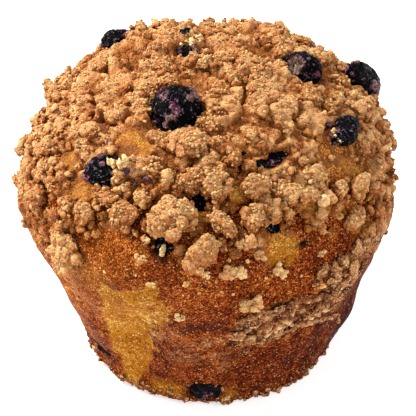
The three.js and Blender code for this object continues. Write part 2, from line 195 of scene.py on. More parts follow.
# Flesh where a berry's skin has split: across and up as the camera sees it, reach, how much pale pulp.
FLESH = {
    "berry_crest": [(-0.8, -0.5, 0.35, 0.2), (0.75, 0.4, 0.25, 0)],
    "berry_crushed": [(-0.7, 0.3, 0.25, 0.2), (0.6, 0.4, 0.35, 0.5)],
    "berry_large": [(-0.5, 0.55, 0.18, 0.3), (0.05, 0.45, 0.14, 0), (0.02, 0.05, 0.26, 0.1),
        (-0.22, -0.3, 0.24, 0.75), (0.66, 0.6, 0.24, 0.5), (-0.85, -0.5, 0.14, 0), (0.2, -0.72, 0.1, 0),
        (-0.42, -0.5, 0.1, 0.2)],
    "berry_left": [(-0.9, -0.2, 0.2, 0), (-0.1, 0.35, 0.13, 0.2), (-0.3, -0.75, 0.1, 0.3),
        (-0.75, 0.55, 0.12, 0), (-0.2, 0.85, 0.14, 0)],
    "berry_back_right": [(0.3, 0.5, 0.12, 0.6), (0.25, -0.35, 0.12, 0), (0.7, -0.3, 0.1, 0),
        (-0.05, -0.65, 0.1, 0)],
    "berry_edge_right": [(-0.75, 0.35, 0.25, 0), (0.85, -0.45, 0.3, 0.3), (-0.35, -0.1, 0.12, 0),
        (-0.1, 0.8, 0.14, 0.5)],
    "berry_right": [(-0.5, 0.3, 0.14, 0.2), (-0.45, -0.8, 0.25, 0.4), (0.75, 0.0, 0.12, 0),
        (-0.6, -0.2, 0.1, 0.9)],
    "berry_base": [(0.1, -0.9, 0.25, 0)],
}

# Hollow ends: across and up as the camera sees them, or tilt and direction about the berry's own axes.
SEEN_HOLLOWS = {"berry_back_right": (-0.42, 0.25)}
OWN_HOLLOWS = {"berry_rear": (30, 60)}

# Scraps of berry skin and flesh among the crumbs: azimuth, climb, length, turn, how much is flesh.
SCRAPS = [
    (96.5, 1.7, 2.2, 20, 0.5), (101, 1.74, 1.6, 70, 0.2), (106, 1.75, 2.4, 30, 0.1),
    (112, 1.81, 2.6, 10, 0.2), (85.5, 1.96, 1.6, -30, 0.1), (130.5, 1.877, 1.6, 10, 0.7),
    (-144, 1.52, 0.9, 0, 1), (-138.5, 1.523, 1.0, 50, 1), (-116.5, 1.431, 1.5, 20, 0.9),
    (-122, 1.446, 1.6, 60, 0.8), (-114, 1.446, 1.4, 10, 1), (-119.5, 1.405, 1.2, 0, 0.8),
    (-98, 1.377, 1.4, 0, 0), (-73.5, 1.577, 0.9, 0, 0.3), (3, 1.743, 1.6, 40, 1),
    (-66.5, 1.515, 2.6, 20, 0), (-69, 1.522, 2.2, 60, 0), (-27, 1.53, 1.6, 30, 0.9),
    (-31, 1.49, 1.2, 80, 0.8), (74, 1.34, 1.6, 0, 0.8), (112, 1.2, 1.4, 40, 0.7), (40, 1.5, 1.2, 0, 1)]

# Single crumbs on the crust and the berries: azimuth, climb, length, width, turn, tone.
LOOSE = [
    (-104, 1.14, 2.8, 1.5, 70, 0.1), (-109.5, 1.174, 2.8, 2.2, 0, 0.25), (-110, 1.103, 3.0, 2.6, 30, 0.45),
    (-121, 1.011, 1.0, 1.0, 0, 0.1), (-111.5, 1.029, 1.1, 1.0, 0, 0.1), (-90.5, 1.066, 2.6, 1.8, 10, 0.1),
    (-85, 1.074, 3.8, 3.0, 60, 0.4), (-81, 1.069, 3.2, 2.8, 0, 0.15), (-85.5, 1.174, 1.9, 1.7, 0, 0.35),
    (-81.5, 1.151, 2.2, 1.5, 0, 0.05), (-80.5, 1.186, 2.8, 2.3, 0, 0.4), (-84, 1.12, 1.1, 1.0, 0, 0.2),
    (-79, 1.111, 1.2, 1.0, 0, 0.2), (-75, 1.134, 3.0, 2.4, 0, 0.4), (-70, 1.05, 3.4, 2.2, 0, 0.15),
    (-68, 1.025, 2.4, 3.0, 0, 0.2), (-54.5, 1.06, 2.0, 2.0, 0, 0.35), (-98.5, 0.809, 3.8, 1.3, 8, 0.15),
    (-77.6, 0.92, 5.6, 4.2, 20, 0.35), (-106.5, 1.009, 2.4, 2.2, 0, 0.35), (-96.5, 1.02, 1.8, 1.6, 0, 0.35),
    (-88, 1.03, 1.0, 0.8, 0, 0.3), (-93, 0.98, 0.9, 0.8, 0, 0.35), (-86.5, 0.99, 1.2, 0.9, 0, 0.4),
    (-83, 0.97, 0.9, 0.8, 0, 0.35), (-73, 1.02, 0.9, 0.9, 0, 0.3), (-62, 1.0, 0.8, 0.7, 0, 0.3),
    (-127.5, 1.44, 4.0, 3.6, 10, 0.2), (-124, 1.47, 3.6, 3.0, 20, 0.15), (-122.5, 1.5, 2.4, 1.8, 0, 0.2),
    (-125, 1.39, 2.4, 2.0, 0, 0.4), (108, 1.8, 3.4, 2.2, 30, 0.05), (115, 1.86, 2.6, 2.0, 0, 0.05),
    (101, 1.85, 2.6, 2.0, 60, 0.1), (128, 1.87, 1.4, 1.2, 0, 0.1), (16, 1.77, 3.0, 2.0, 10, 0.15),
    (22, 1.44, 2.2, 1.4, 10, 0.3), (-30, 1.49, 2.6, 1.6, 80, 0.1), (-31, 1.44, 1.6, 1.2, 0, 0.05),
    (-171, 0.985, 3.2, 3.0, 0, 0.5), (178, 1.11, 4.4, 3.6, 0, 0.5), (2, 1.14, 3.4, 3.0, 0, 0.5)]

# Layers of random crumbs: tries, smallest, largest, most lift, share that is laid, lobes on each.
CRUMB_LAYERS = [
    (2400, 0.95, 1.8, 0.4, 0.9, 2), (5000, 0.5, 0.95, 0.9, 0.4, 1), (4200, 0.25, 0.45, 1.2, 0.5, 0)]

# Shreds of the torn ledge: azimuth, climb, length, width, height, turn, tone.
SHREDS = [
    (-78.5, 0.8, 5.2, 3.4, 1.6, 12, 0.35), (-74, 0.815, 5.6, 3.4, 1.8, 12, 0.3),
    (-69.5, 0.83, 5.2, 3.0, 1.7, 8, 0.35), (-65.5, 0.838, 4.2, 2.4, 1.4, 5, 0.4),
    (-80.5, 0.706, 2.8, 2.2, 2.0, 0, 0.3), (-77, 0.651, 2.8, 2.2, 2.2, 40, 0.25),
    (-73, 0.6, 2.8, 1.8, 1.8, 70, 0.3), (-69.5, 0.5, 3.0, 1.6, 1.6, 30, 0.35),
    (-76, 0.44, 2.6, 1.2, 1.2, 80, 0.3), (-66, 0.56, 3.6, 1.8, 1.8, 20, 0.35),
    (-63, 0.54, 3.6, 1.8, 1.8, 15, 0.3), (-58, 0.55, 3.8, 1.7, 1.8, 12, 0.25),
    (-53, 0.55, 3.6, 1.6, 1.8, 8, 0.2), (-48, 0.55, 3.4, 1.5, 1.8, 0, 0.3),
    (-44, 0.53, 3.0, 1.6, 1.6, -20, 0.25), (-38.5, 0.5, 3.2, 1.4, 1.4, -50, 0.2),
    (-34, 0.42, 2.8, 1.2, 1.2, -60, 0.15), (-60, 0.72, 3.4, 2.2, 1.6, 30, 0.45),
    (-55, 0.74, 4.5, 3.1, 2.2, 35, 0.42), (-51, 0.8, 4.8, 3.4, 2.2, 50, 0.42),
    (-46.5, 0.74, 4.2, 3.1, 2.2, 50, 0.47), (-42, 0.66, 4.0, 2.6, 2.0, 40, 0.37),
    (-38, 0.7, 4.2, 2.9, 2.0, 60, 0.42), (-52.5, 0.91, 4.5, 3.4, 2.2, 50, 0.42),
    (-55.5, 0.99, 3.8, 2.9, 2.0, 40, 0.32), (-50, 0.957, 4.5, 3.6, 2.4, 60, 0.47),
    (-47.5, 0.997, 4.2, 3.4, 2.4, 50, 0.37), (-44, 0.937, 4.5, 3.6, 2.2, 60, 0.32),
    (-42, 1.01, 4.2, 3.1, 2.2, 40, 0.27), (-37, 1, 4.2, 3.1, 2.2, 40, 0.32),
    (-32, 1, 4.2, 3.1, 2.0, 30, 0.37), (-38, 0.88, 4.2, 3.1, 2.0, 60, 0.42),
    (-33, 0.8, 4.0, 2.6, 1.8, 60, 0.42), (-29, 0.88, 4.2, 2.9, 1.8, 50, 0.37),
    (-24, 0.93, 4.0, 2.9, 1.8, 30, 0.32)]


# ---- unevenness; each noise has a seed of its own ----

DRAW_COUNT = 65536
DRAWS = np.random.default_rng(SEED).random((DRAW_COUNT, 3))
CELL_KEYS = (73856093, 19349663, 83492791)
SEED_KEY = 2654435


def cell_draws(cells, seed):
    """Three draws from 0 to 1 for each cell."""
    x, y, z = (cells[..., k] * key for k, key in enumerate(CELL_KEYS))
    return DRAWS[((x ^ y ^ z) + seed * SEED_KEY) & (DRAW_COUNT - 1)]


def value_noise(points, size, seed):
    """Smooth noise from -1 to 1 whose bumps are about size millimetres across."""
    place = points / size + 0.37 * seed
    cell = np.floor(place).astype(np.int64)
    part = place - cell
    part = part * part * (3 - 2 * part)
    total = np.zeros(len(points))
    for corner in np.ndindex(2, 2, 2):
        weight = np.prod(np.where(corner, part, 1 - part), axis=1)
        total += weight * cell_draws(cell + np.array(corner), seed)[:, 0]
    return 2 * total - 1


def fractal(points, size, seed, octaves=3):
    """Smooth noise with finer and weaker noise added to it."""
    return sum(value_noise(points, size / 2 ** k, seed + k) / 2 ** k for k in range(octaves))


def noise_vectors(points, size, seed, noise=value_noise):
    """Three values of noise at each point, to shift it by."""
    return np.stack([noise(points, size, seed + k) for k in range(3)], 1)


def cells_around(points, size, seed):
    """The 27 cells about each point, and the way from the point to the one scattered in each cell."""
    place = points / size
    cell = np.floor(place).astype(np.int64)
    for step in np.ndindex(3, 3, 3):
        near = cell + (np.array(step) - 1)
        yield near, near + cell_draws(near, seed) - place


def cell_distance(points, size, seed):
    """Distance to the nearest of the scattered points, in cell widths."""
    nearest = np.full(len(points), 9.0)
    for _, gap in cells_around(points, size, seed):
        nearest = np.minimum(nearest, np.einsum("ij,ij->i", gap, gap))
    return np.sqrt(nearest)


def chunks(points, size, seed, rounding=0.0):
    """Broken chunks, one in each cell: a height up to about 1, 0 in the gaps, and a draw for each."""
    first, second = np.full(len(points), 9.0), np.full(len(points), 9.0)
    level, draw = np.zeros(len(points)), np.zeros(len(points))
    for near, gap in cells_around(points, size, seed):
        far = np.sqrt(np.einsum("ij,ij->i", gap, gap))
        own = cell_draws(near, seed + 5)
        lean = np.einsum("ij,ij->i", gap, 1 - 2 * cell_draws(near, seed + 9))
        closer = far < first
        second = np.where(closer, first, np.minimum(second, far))
        first = np.where(closer, far, first)
        level = np.where(closer, own[:, 0] + 0.9 * lean, level)
        draw = np.where(closer, own[:, 1], draw)
    height = (0.3 + 0.7 * level) * (1 - rounding * first ** 2)
    return height * smooth_step(second - first, -0.06, 0.3), draw


# ---- shape of the cake ----

def unevenness(points, wavelength):
    """Gentle waves from about -1 to 1."""
    k = 2 * math.pi / wavelength
    x, y, z = points.T
    a = np.sin(k * x + 1.3) * np.cos(0.9 * k * y - 0.7)
    b = np.sin(1.1 * k * y + 2.1) * np.cos(0.8 * k * z + 0.4)
    c = np.sin(0.95 * k * z - 1.9) * np.cos(1.05 * k * x + 0.8)
    return (a + b + c) / 1.8


def profile(climb):
    """Radius and height of the smooth cake at each climb."""
    climb = np.asarray(climb, float)
    low = np.clip(climb, 0, 1)
    height = RIM_HEIGHT * low
    above = np.minimum(height / BASE_EDGE, 1)
    edge = BASE_EDGE * (1 - np.sqrt(1 - (1 - above) ** 2))
    radius = BASE_RADIUS + (RIM_RADIUS - BASE_RADIUS) * np.sin(math.pi / 2 * low ** WALL_FLARE) - edge
    angle = np.clip(climb - 1, 0, 1) * math.pi / 2
    power = 2 / CROWN_FULLNESS
    crown_radius = RIM_RADIUS * np.maximum(np.cos(angle), 0) ** power
    crown_height = RIM_HEIGHT + CROWN_RISE * np.sin(angle) ** power
    return np.where(climb <= 1, radius, crown_radius), np.where(climb <= 1, height, crown_height)


def smooth_point(azimuth, climb):
    """Points of the smooth cake."""
    radius, height = profile(climb)
    turn = np.asarray(azimuth, float) * DEGREE
    return np.stack([radius * np.cos(turn), radius * np.sin(turn), height + 0 * turn], axis=-1)


SWELL_CENTRES = smooth_point(SWELLS[:, 0], SWELLS[:, 1])


def ledge_relief(azimuth, climb):
    """The step of the torn ledge: in below its line, out above it."""
    along = (azimuth - LEDGE_FROM) / (LEDGE_TO - LEDGE_FROM)
    line = LEDGE_START + (LEDGE_END - LEDGE_START) * along
    fade = np.clip(np.minimum(6 * along, 6 * (1 - along)), 0, 1)
    step = np.tanh((climb - line) / LEDGE_SHARPNESS)
    return LEDGE_DEPTH * fade * np.exp(-(((climb - line) / LEDGE_REACH) ** 2)) * step


def relief(azimuth, climb, points):
    """The broad relief of the cake, none at its base."""
    height = 0.5 * unevenness(points, 34) + 0.45 * unevenness(points, 15) + ledge_relief(azimuth, climb)
    for centre, (_, _, reach, rise) in zip(SWELL_CENTRES, SWELLS):
        gap = points - centre
        height += rise * np.exp(-np.einsum("ij,ij->i", gap, gap) / reach ** 2)
    return height * np.minimum(points[:, 2] / 4, 1)


def outwards(points):
    """The direction from the middle of the cake to each point."""
    away = points - CENTRE
    return away / np.linalg.norm(away, axis=1, keepdims=True)


def crust_grain(azimuth, climb, points):
    """Fine relief of the crust: lumps, pits and the rough edge of the base."""
    channel = channel_mask(azimuth, climb)
    lumps = 0.5 * fractal(points, 7, 21, 2) * np.clip((climb - 0.95) / 0.15, 0, 1)
    soft = 0.16 * fractal(points, 3.2, 23) + 0.22 * channel * fractal(points, 1.8, 24, 2)
    pits = -0.16 * np.clip(0.55 - cell_distance(points, 1.1, 25), 0, 1)
    low = np.clip(1 - climb / 0.3, 0, 1)
    ragged = 0.5 * low * fractal(points, 1.7, 27) + 1.3 * low * (0.45 - cell_distance(points, 2.6, 28))
    forms = spots(azimuth, climb, RAISED) - 0.2 * channel
    forms -= 0.8 * hump(azimuth, climb - channel_top(azimuth) + 0.02, -114.5, 0, 8, 0.028)
    forms -= 1.2 * crack(azimuth, climb, 2.6, 0.01)
    forms += 0.55 * peel_mask(azimuth, climb) * (chunks(points, 3.0, 29)[0] - 0.35)
    forms += torn_relief(azimuth, climb, points)[0] + 0.9 * crumbly(azimuth, climb, points)
    return (lumps + soft + pits + ragged + forms) * np.clip(points[:, 2] / 0.8, 0, 1)


def set_back(azimuth, climb):
    """How far the cake lies back under its topping, whose crumbs then end at the cake's outline."""
    crown, rim = read_off(CROWN_BACK, azimuth), read_off(RIM_BACK, azimuth)
    return rim * smooth_step(climb, 0.86, 1.02) + (crown - rim) * smooth_step(climb, 1.1, 1.4)


def torn_relief(azimuth, climb, points):
    """Relief of the torn crumb inside its band, that band, and how deep or high each place in it lies."""
    shift = noise_vectors(points, 2.1, 101)
    large, draw = chunks(points * (1, 1, 1.3) + 1.4 * shift, 3.8, 104)
    small = chunks(points + 0.5 * shift, 1.5, 105)[0]
    band = torn_band(azimuth, climb)
    level = large - 0.45 + 0.4 * (small - 0.4)
    calm = 1 - 0.6 * smooth_step(azimuth, -48, -36)
    return band * (1.7 * calm * level + 0.1), band, calm * level + 0.35 * (draw - 0.5)


def crumbly(azimuth, climb, points):
    """Loose crumb inside the golden channel, strongest on its right side."""
    share = channel_mask(azimuth, climb) * (0.3 + 0.7 * hump(azimuth, climb, -109, 0.68, 5, 0.16))
    return share * (chunks(points, 2.0, 106)[0] - 0.4)


def surface(azimuth, climb, grain=False):
    """Points of the cake's surface, with its fine grain or without."""
    azimuth, climb = (np.ravel(value).astype(float) for value in np.broadcast_arrays(azimuth, climb))
    points = smooth_point(azimuth, climb)
    height = relief(azimuth, climb, points) - set_back(azimuth, climb)
    if grain:
        height = height + crust_grain(azimuth, climb, points)
    return points + outwards(points) * height[:, None]


HIGHEST_FRAME = 1.95
EAST_STEP, UP_STEP = 2, 0.02


def surface_frames(azimuth, climb):
    """East, up-slope and outward directions at each place, as the columns of a matrix."""
    climb = np.minimum(climb, HIGHEST_FRAME)
    east = surface(azimuth + EAST_STEP, climb) - surface(azimuth - EAST_STEP, climb)
    up = surface(azimuth, climb + UP_STEP) - surface(azimuth, climb - UP_STEP)
    normal = np.cross(east, up)
    normal /= np.linalg.norm(normal, axis=1, keepdims=True)
    east /= np.linalg.norm(east, axis=1, keepdims=True)
    return np.stack([east, np.cross(normal, east), normal], axis=2)


LADDER = np.linspace(0, 2, 1200)
LADDER_RADIUS, LADDER_HEIGHT = profile(LADDER)
LADDER_TILT = np.arctan2(LADDER_HEIGHT - CENTRE[2], LADDER_RADIUS)
RING_AREA = LADDER_RADIUS * np.hypot(np.gradient(LADDER_RADIUS), np.gradient(LADDER_HEIGHT))


def places_of(points):
    """Azimuth and climb of the surface that each point is nearest to."""
    away = points - CENTRE
    tilt = np.arctan2(away[:, 2], np.hypot(away[:, 0], away[:, 1]))
    return np.arctan2(away[:, 1], away[:, 0]) / DEGREE, np.interp(tilt, LADDER_TILT, LADDER)


def height_above(points):
    """How far each point is outside the cake, in millimetres."""
    azimuth, climb = places_of(points)
    ground = surface(azimuth, climb)
    return np.linalg.norm(points - CENTRE, axis=1) - np.linalg.norm(ground - CENTRE, axis=1)


def draw_places(count, low, high, rng):
    """Places drawn evenly over the surface between two climbs."""
    area = np.cumsum(np.where((LADDER >= low) & (LADDER <= high), RING_AREA, 0))
    climb = np.interp(rng.random(count) * area[-1], area, LADDER)
    return rng.uniform(-180, 180, count), climb


# ---- masks over the cake ----

def smooth_step(value, low, high):
    """0 at low and 1 at high, with soft ends; it falls where low is the larger."""
    part = np.clip((value - low) / (high - low), 0, 1)
    return part * part * (3 - 2 * part)


def hump(azimuth, climb, middle, level, wide, high):
    """1 at one place, falling off to 0 within a few widths and heights."""
    return np.exp(-((azimuth - middle) / wide) ** 2 - ((climb - level) / high) ** 2)


def window(value, low, rise, fall, high):
    """1 from rise to fall, 0 below low and above high."""
    return smooth_step(value, low, rise) * smooth_step(value, high, fall)


def spots(azimuth, climb, places):
    """The sum of a table of spots."""
    return sum(strength * hump(azimuth, climb, *place) for *place, strength in places)


def read_off(table, at):
    """The values of a table of pairs, straight between its rows."""
    return np.interp(at, *np.transpose(table))


def crack(azimuth, climb, wide, high):
    """The slanting crack under the topping."""
    slanted = azimuth - CRACK_SLANT * (climb - CRACK_CLIMB)
    return hump(slanted, climb, CRACK_AZIMUTH, CRACK_CLIMB, wide, high)


def channel_top(azimuth):
    """Climb of the upper end of the golden channel."""
    return read_off(CHANNEL_TOP, azimuth)


def channel_mask(azimuth, climb):
    """The golden channel where the crust peeled off, front left."""
    left, right = read_off(CHANNEL_LEFT, climb), read_off(CHANNEL_RIGHT, climb)
    top = channel_top(azimuth)
    across = window(azimuth, left - 0.9, left + 0.9, right - 0.9, right + 0.9)
    return across * window(climb, 0.02, 0.06, top - 0.015, top + 0.015)


def peel_mask(azimuth, climb):
    """Where the crust came off in chips: a band low on the front and patches round the wall."""
    patches = sum(hump(azimuth, climb, *place) for place in CHIPPED)
    band = window(azimuth, -115, -110, -79, -74) * window(climb, 0.31, 0.36, 0.6, 0.65)
    return smooth_step(patches, 0.25, 0.7) + band


def torn_band(azimuth, climb):
    """The torn ledge of pale crumb, front right. 1 inside, 0 outside."""
    lower, upper = read_off(TORN_LOWER, azimuth), read_off(TORN_UPPER, azimuth)
    inside = window(climb, lower - 0.02, lower + 0.02, upper - 0.02, upper + 0.02)
    return window(azimuth, -87, -80, -10, 4) * inside


def topping_edge(azimuth):
    """Climb of the lower edge of the topping."""
    return read_off(TOPPING_EDGE, azimuth)


BARE_CENTRES = surface(BARE_PATCHES[:, 0], BARE_PATCHES[:, 1])


def bareness(points, golden=False):
    """1 in the middle of a bare patch, or how golden it is, and 0 where the topping covers."""
    result = np.zeros(len(points))
    for centre, (_, _, reach, gold) in zip(BARE_CENTRES, BARE_PATCHES):
        gap = np.linalg.norm(points - centre, axis=1) / reach
        result = np.maximum(result, (gold if golden else 1) * (1 - smooth_step(gap, 0.75, 1.25)))
    return result


# ---- meshes ----

def new_object(name, points, faces, attributes, material):
    """A smooth-shaded object from points in millimetres about the cake's axis."""
    mesh = bpy.data.meshes.new(name)
    mesh.vertices.add(len(points))
    mesh.vertices.foreach_set("co", ((points - OUTLINE_MIDDLE) * MM).astype(np.float32).ravel())
    mesh.loops.add(faces.size)
    mesh.loops.foreach_set("vertex_index", faces.astype(np.int32).ravel())
    mesh.polygons.add(len(faces))
    mesh.polygons.foreach_set("loop_start", np.arange(0, faces.size, faces.shape[1], dtype=np.int32))
    mesh.update(calc_edges=True)
    for key, values in attributes.items():
        mesh.attributes.new(key, "FLOAT", "POINT").data.foreach_set("value", values.astype(np.float32))
    mesh.shade_smooth()
    mesh.materials.append(material)
    obj = bpy.data.objects.new(name, mesh)
    bpy.context.scene.collection.objects.link(obj)
    return obj


def icosphere(subdivisions):
    """Points and faces of a ball."""
    ball = bmesh.new()
    bmesh.ops.create_icosphere(ball, subdivisions=subdivisions, radius=1)
    points = np.array([v.co[:] for v in ball.verts])
    faces = np.array([[v.index for v in f.verts] for f in ball.faces])
    ball.free()
    return points, faces


BALLS = {level: icosphere(level) for level in range(1, 7)}


def even_ball(parts):
    """A ball of nearly equal triangles, each side of an icosahedron cut into this many parts."""
    corners, sides = BALLS[1]
    i, j = np.array([(i, j) for i in range(parts + 1) for j in range(parts + 1 - i)]).T
    weights = np.stack([parts - i - j, i, j], 1) / parts
    points = np.einsum("nk,skc->snc", weights, corners[sides])
    start = np.concatenate([[0], np.cumsum(parts + 1 - np.arange(parts + 1))])
    here, next_row = start[i] + j, start[i + 1] + j
    pointing = np.stack([here, next_row, here + 1], 1)[i + j < parts]
    between = np.stack([next_row, next_row + 1, here + 1], 1)[i + j < parts - 1]
    faces = np.concatenate([pointing, between])
    every = (faces[None] + (np.arange(len(sides)) * len(i))[:, None, None]).reshape(-1, 3)
    flat = points.reshape(-1, 3)
    _, kept, number = np.unique(np.round(flat, 6), axis=0, return_index=True, return_inverse=True)
    ball = flat[kept]
    return ball / np.linalg.norm(ball, axis=1, keepdims=True), number.reshape(-1)[every]


def random_turns(count, rng):
    """Rotation matrices in every direction."""
    q = rng.normal(size=(count, 4))
    w, x, y, z = (q / np.linalg.norm(q, axis=1, keepdims=True)).T
    return np.stack([1 - 2 * (y * y + z * z), 2 * (x * y - w * z), 2 * (x * z + w * y),
                     2 * (x * y + w * z), 1 - 2 * (x * x + z * z), 2 * (y * z - w * x),
                     2 * (x * z - w * y), 2 * (y * z + w * x), 1 - 2 * (x * x + y * y)], 1).reshape(-1, 3, 3)


def turned(axes, turn, tip=0.0):
    """Axes turned about their own outward axis and tipped about the first."""
    c, s = math.cos(turn * DEGREE), math.sin(turn * DEGREE)
    ct, st = math.cos(tip * DEGREE), math.sin(tip * DEGREE)
    turning = np.array([[c, -s, 0], [s, c, 0], [0, 0, 1]])
    tipping = np.array([[1, 0, 0], [0, ct, -st], [0, st, ct]])
    return axes @ turning @ tipping


def place_on(ground, azimuth, climb, turn, tip=0.0):
    """One point of a ground and the axes of the cake there, turned and tipped."""
    place = np.array([float(azimuth)]), np.array([float(climb)])
    return ground(*place)[0], turned(surface_frames(*place)[0], turn, tip)


def keep_faces(points, faces, keep, attributes):
    """The chosen faces, with the points and values that they use."""
    used, numbers = np.unique(faces[keep], return_inverse=True)
    return points[used], numbers.reshape(-1, 3), {key: value[used] for key, value in attributes.items()}


# ---- materials ----

def connect(tree, value, socket):
    """Link a socket's value, or set a plain one."""
    if isinstance(value, bpy.types.NodeSocket):
        tree.links.new(value, socket)
    else:
        socket.default_value = value


def colour(red, green, blue):
    """A colour given in screen values from 0 to 255."""
    linear = [((v / 255 + 0.055) / 1.055) ** 2.4 if v > 10 else v / 3294.6 for v in (red, green, blue)]
    return *linear, 1.0


class Shader:
    """A material's or group's node tree, filled by short calls. Colours are given as red, green and blue."""

    def __init__(self, tree):
        self.tree = tree

    def add(self, kind, settings=None, **inputs):
        node = self.tree.nodes.new("ShaderNode" + kind)
        for key, value in (settings or {}).items():
            setattr(node, key, value)
        for key, value in inputs.items():
            socket = node.inputs[int(key[1:])] if key[1:].isdigit() else node.inputs[key.replace("_", " ")]
            connect(self.tree, value, socket)
        return node

    def math(self, operation, a, b, c=0.0):
        return self.add("Math", {"operation": operation}, i0=a, i1=b, i2=c).outputs[0]

    def span(self, value, low, high, to_low=0.0, to_high=1.0):
        node = self.add("MapRange", {"interpolation_type": "SMOOTHSTEP"}, Value=value)
        for key, number in (("From Min", low), ("From Max", high), ("To Min", to_low), ("To Max", to_high)):
            node.inputs[key].default_value = number
        return node.outputs[0]

    def mix(self, factor, a, b):
        a, b = (colour(*value) if isinstance(value, tuple) else value for value in (a, b))
        return self.add("Mix", {"data_type": "RGBA"}, i0=factor, i6=a, i7=b).outputs[2]

    def ramp(self, factor, stops):
        """A run of colours, each with its place from 0 to 1."""
        node = self.add("ValToRGB", None, Fac=factor)
        elements = node.color_ramp.elements
        for element, (position, *shade) in zip(elements, (stops[0], stops[-1])):
            element.position, element.color = position, colour(*shade)
        for position, *shade in stops[1:-1]:
            elements.new(position).color = colour(*shade)
        return node.outputs[0]

    def noise(self, scale, roughness=0.6, detail=3.0):
        place = self.add("TexCoord").outputs["Object"]
        form = {"Scale": scale, "Detail": detail, "Roughness": roughness}
        return self.add("TexNoise", None, Vector=place, **form).outputs[0]

    def add_up(self, start, *terms):
        """A start value plus each value times its factor."""
        for value, factor in terms:
            start = self.math("MULTIPLY_ADD", value, factor, start)
        return start

    def attributes(self, *names):
        return [self.add("Attribute", {"attribute_name": name}).outputs["Fac"] for name in names]

    def group(self, tree, **inputs):
        node = self.tree.nodes.new("ShaderNodeGroup")
        node.node_tree = tree
        for key, value in inputs.items():
            node.inputs[key].default_value = value
        return node.outputs

    def flecked(self, base, shade, strength, **form):
        """The base with small flecks of one shade on it."""
        mask = self.group(FLECKS, **form)["Mask"]
        return self.mix(self.math("MULTIPLY", mask, strength), base, shade)


def shared_group(name, inputs, outputs, fill):
    """A node group of number inputs and outputs of several kinds, filled by a function."""
    tree = bpy.data.node_groups.new(name, "ShaderNodeTree")
    for key in inputs:
        tree.interface.new_socket(key, in_out="INPUT", socket_type="NodeSocketFloat")
    for key, kind in outputs.items():
        tree.interface.new_socket(key, in_out="OUTPUT", socket_type="NodeSocket" + kind)
    source = tree.nodes.new("NodeGroupInput").outputs
    fill(Shader(tree), source, tree.nodes.new("NodeGroupOutput").inputs)
    return tree


def fill_flecks(shader, source, target):
    """A mask of scattered small flecks: some cells of a cell pattern, near their middles."""
    place = shader.add("TexCoord").outputs["Object"]
    cells = shader.add("TexVoronoi", None, Vector=place, Scale=source["Scale"])
    near = shader.math("LESS_THAN", cells.outputs["Distance"], source["Size"])
    parts = shader.add("SeparateColor", None, Color=cells.outputs["Color"])
    chosen = shader.math("LESS_THAN", parts.outputs[0], source["Share"])
    shader.tree.links.new(shader.math("MULTIPLY", near, chosen), target["Mask"])


def fill_grain(shader, source, target):
    """Grains of about one size: the height of each place, a normal raised by it, and a draw for each."""
    place = shader.add("TexCoord").outputs["Object"]
    cells = shader.add("TexVoronoi", None, Vector=place, Scale=source["Scale"]).outputs
    fine = shader.math("MULTIPLY_ADD", shader.noise(1700.0, 0.7, 2.0), 1.3, -0.65)
    height = shader.math("ADD", shader.math("MULTIPLY_ADD", cells["Distance"], -0.8, 0.85), fine)
    bump = shader.add("Bump", None, Strength=source["Strength"], Distance=GRAIN_RELIEF, Height=height)
    shader.tree.links.new(height, target["Height"])
    shader.tree.links.new(bump.outputs[0], target["Normal"])
    draw = shader.add("SeparateColor", None, Color=cells["Color"]).outputs[0]
    shader.tree.links.new(draw, target["Draw"])


FLECKS = shared_group("flecks", ("Scale", "Size", "Share"), {"Mask": "Float"}, fill_flecks)
GRAIN = shared_group("grain", ("Scale", "Strength"), {"Height": "Float", "Normal": "Vector", "Draw": "Float"},
                     fill_grain)

# Runs of colours, each with its place on the run: the lowest value first.
CRUST_SHADES = [(0.0, 240, 186, 106), (0.25, 207, 131, 58), (0.5, 160, 78, 26), (0.75, 110, 40, 11),
                (1.0, 56, 16, 6)]
GOLDEN_SHADES = [(0.2, 112, 54, 4), (0.45, 168, 98, 18), (0.65, 194, 132, 42), (0.95, 236, 196, 120)]
PALE_SHADES = [(0.0, 48, 18, 6), (0.2, 94, 44, 20), (0.45, 148, 90, 54), (0.7, 192, 134, 88),
               (0.95, 244, 208, 156)]
TOPPING_SHADES = [(0.0, 252, 215, 160), (0.3, 228, 178, 118), (0.55, 200, 150, 100), (0.8, 170, 102, 50),
                  (1.0, 100, 42, 12)]
TORN_SHADES = [(0.0, 250, 222, 170), (0.3, 222, 172, 114), (0.55, 184, 126, 82), (0.8, 118, 66, 36),
               (1.0, 56, 24, 8)]
FLESH_SHADES = [(0.32, 22, 7, 20), (0.5, 80, 32, 64), (0.66, 132, 84, 104), (0.86, 192, 152, 148)]
PULP_SHADES = [(0.2, 56, 34, 34), (0.5, 138, 112, 96), (0.8, 206, 188, 160)]


def finish_material(name, fill, specular, scatter=0.0, radius=(1.0, 0.45, 0.2)):
    """A material whose colour, roughness and normal come from a function of its shader."""
    material = bpy.data.materials.new(name)
    material.use_nodes = True
    tree = material.node_tree
    inputs = tree.nodes["Principled BSDF"].inputs
    for key, value in zip(("Base Color", "Roughness", "Normal"), fill(Shader(tree))):
        connect(tree, value, inputs[key])
    inputs["Specular IOR Level"].default_value = specular
    inputs["Subsurface Weight"].default_value = scatter
    inputs["Subsurface Radius"].default_value = radius
    inputs["Subsurface Scale"].default_value = SCATTER_DEPTH
    return material


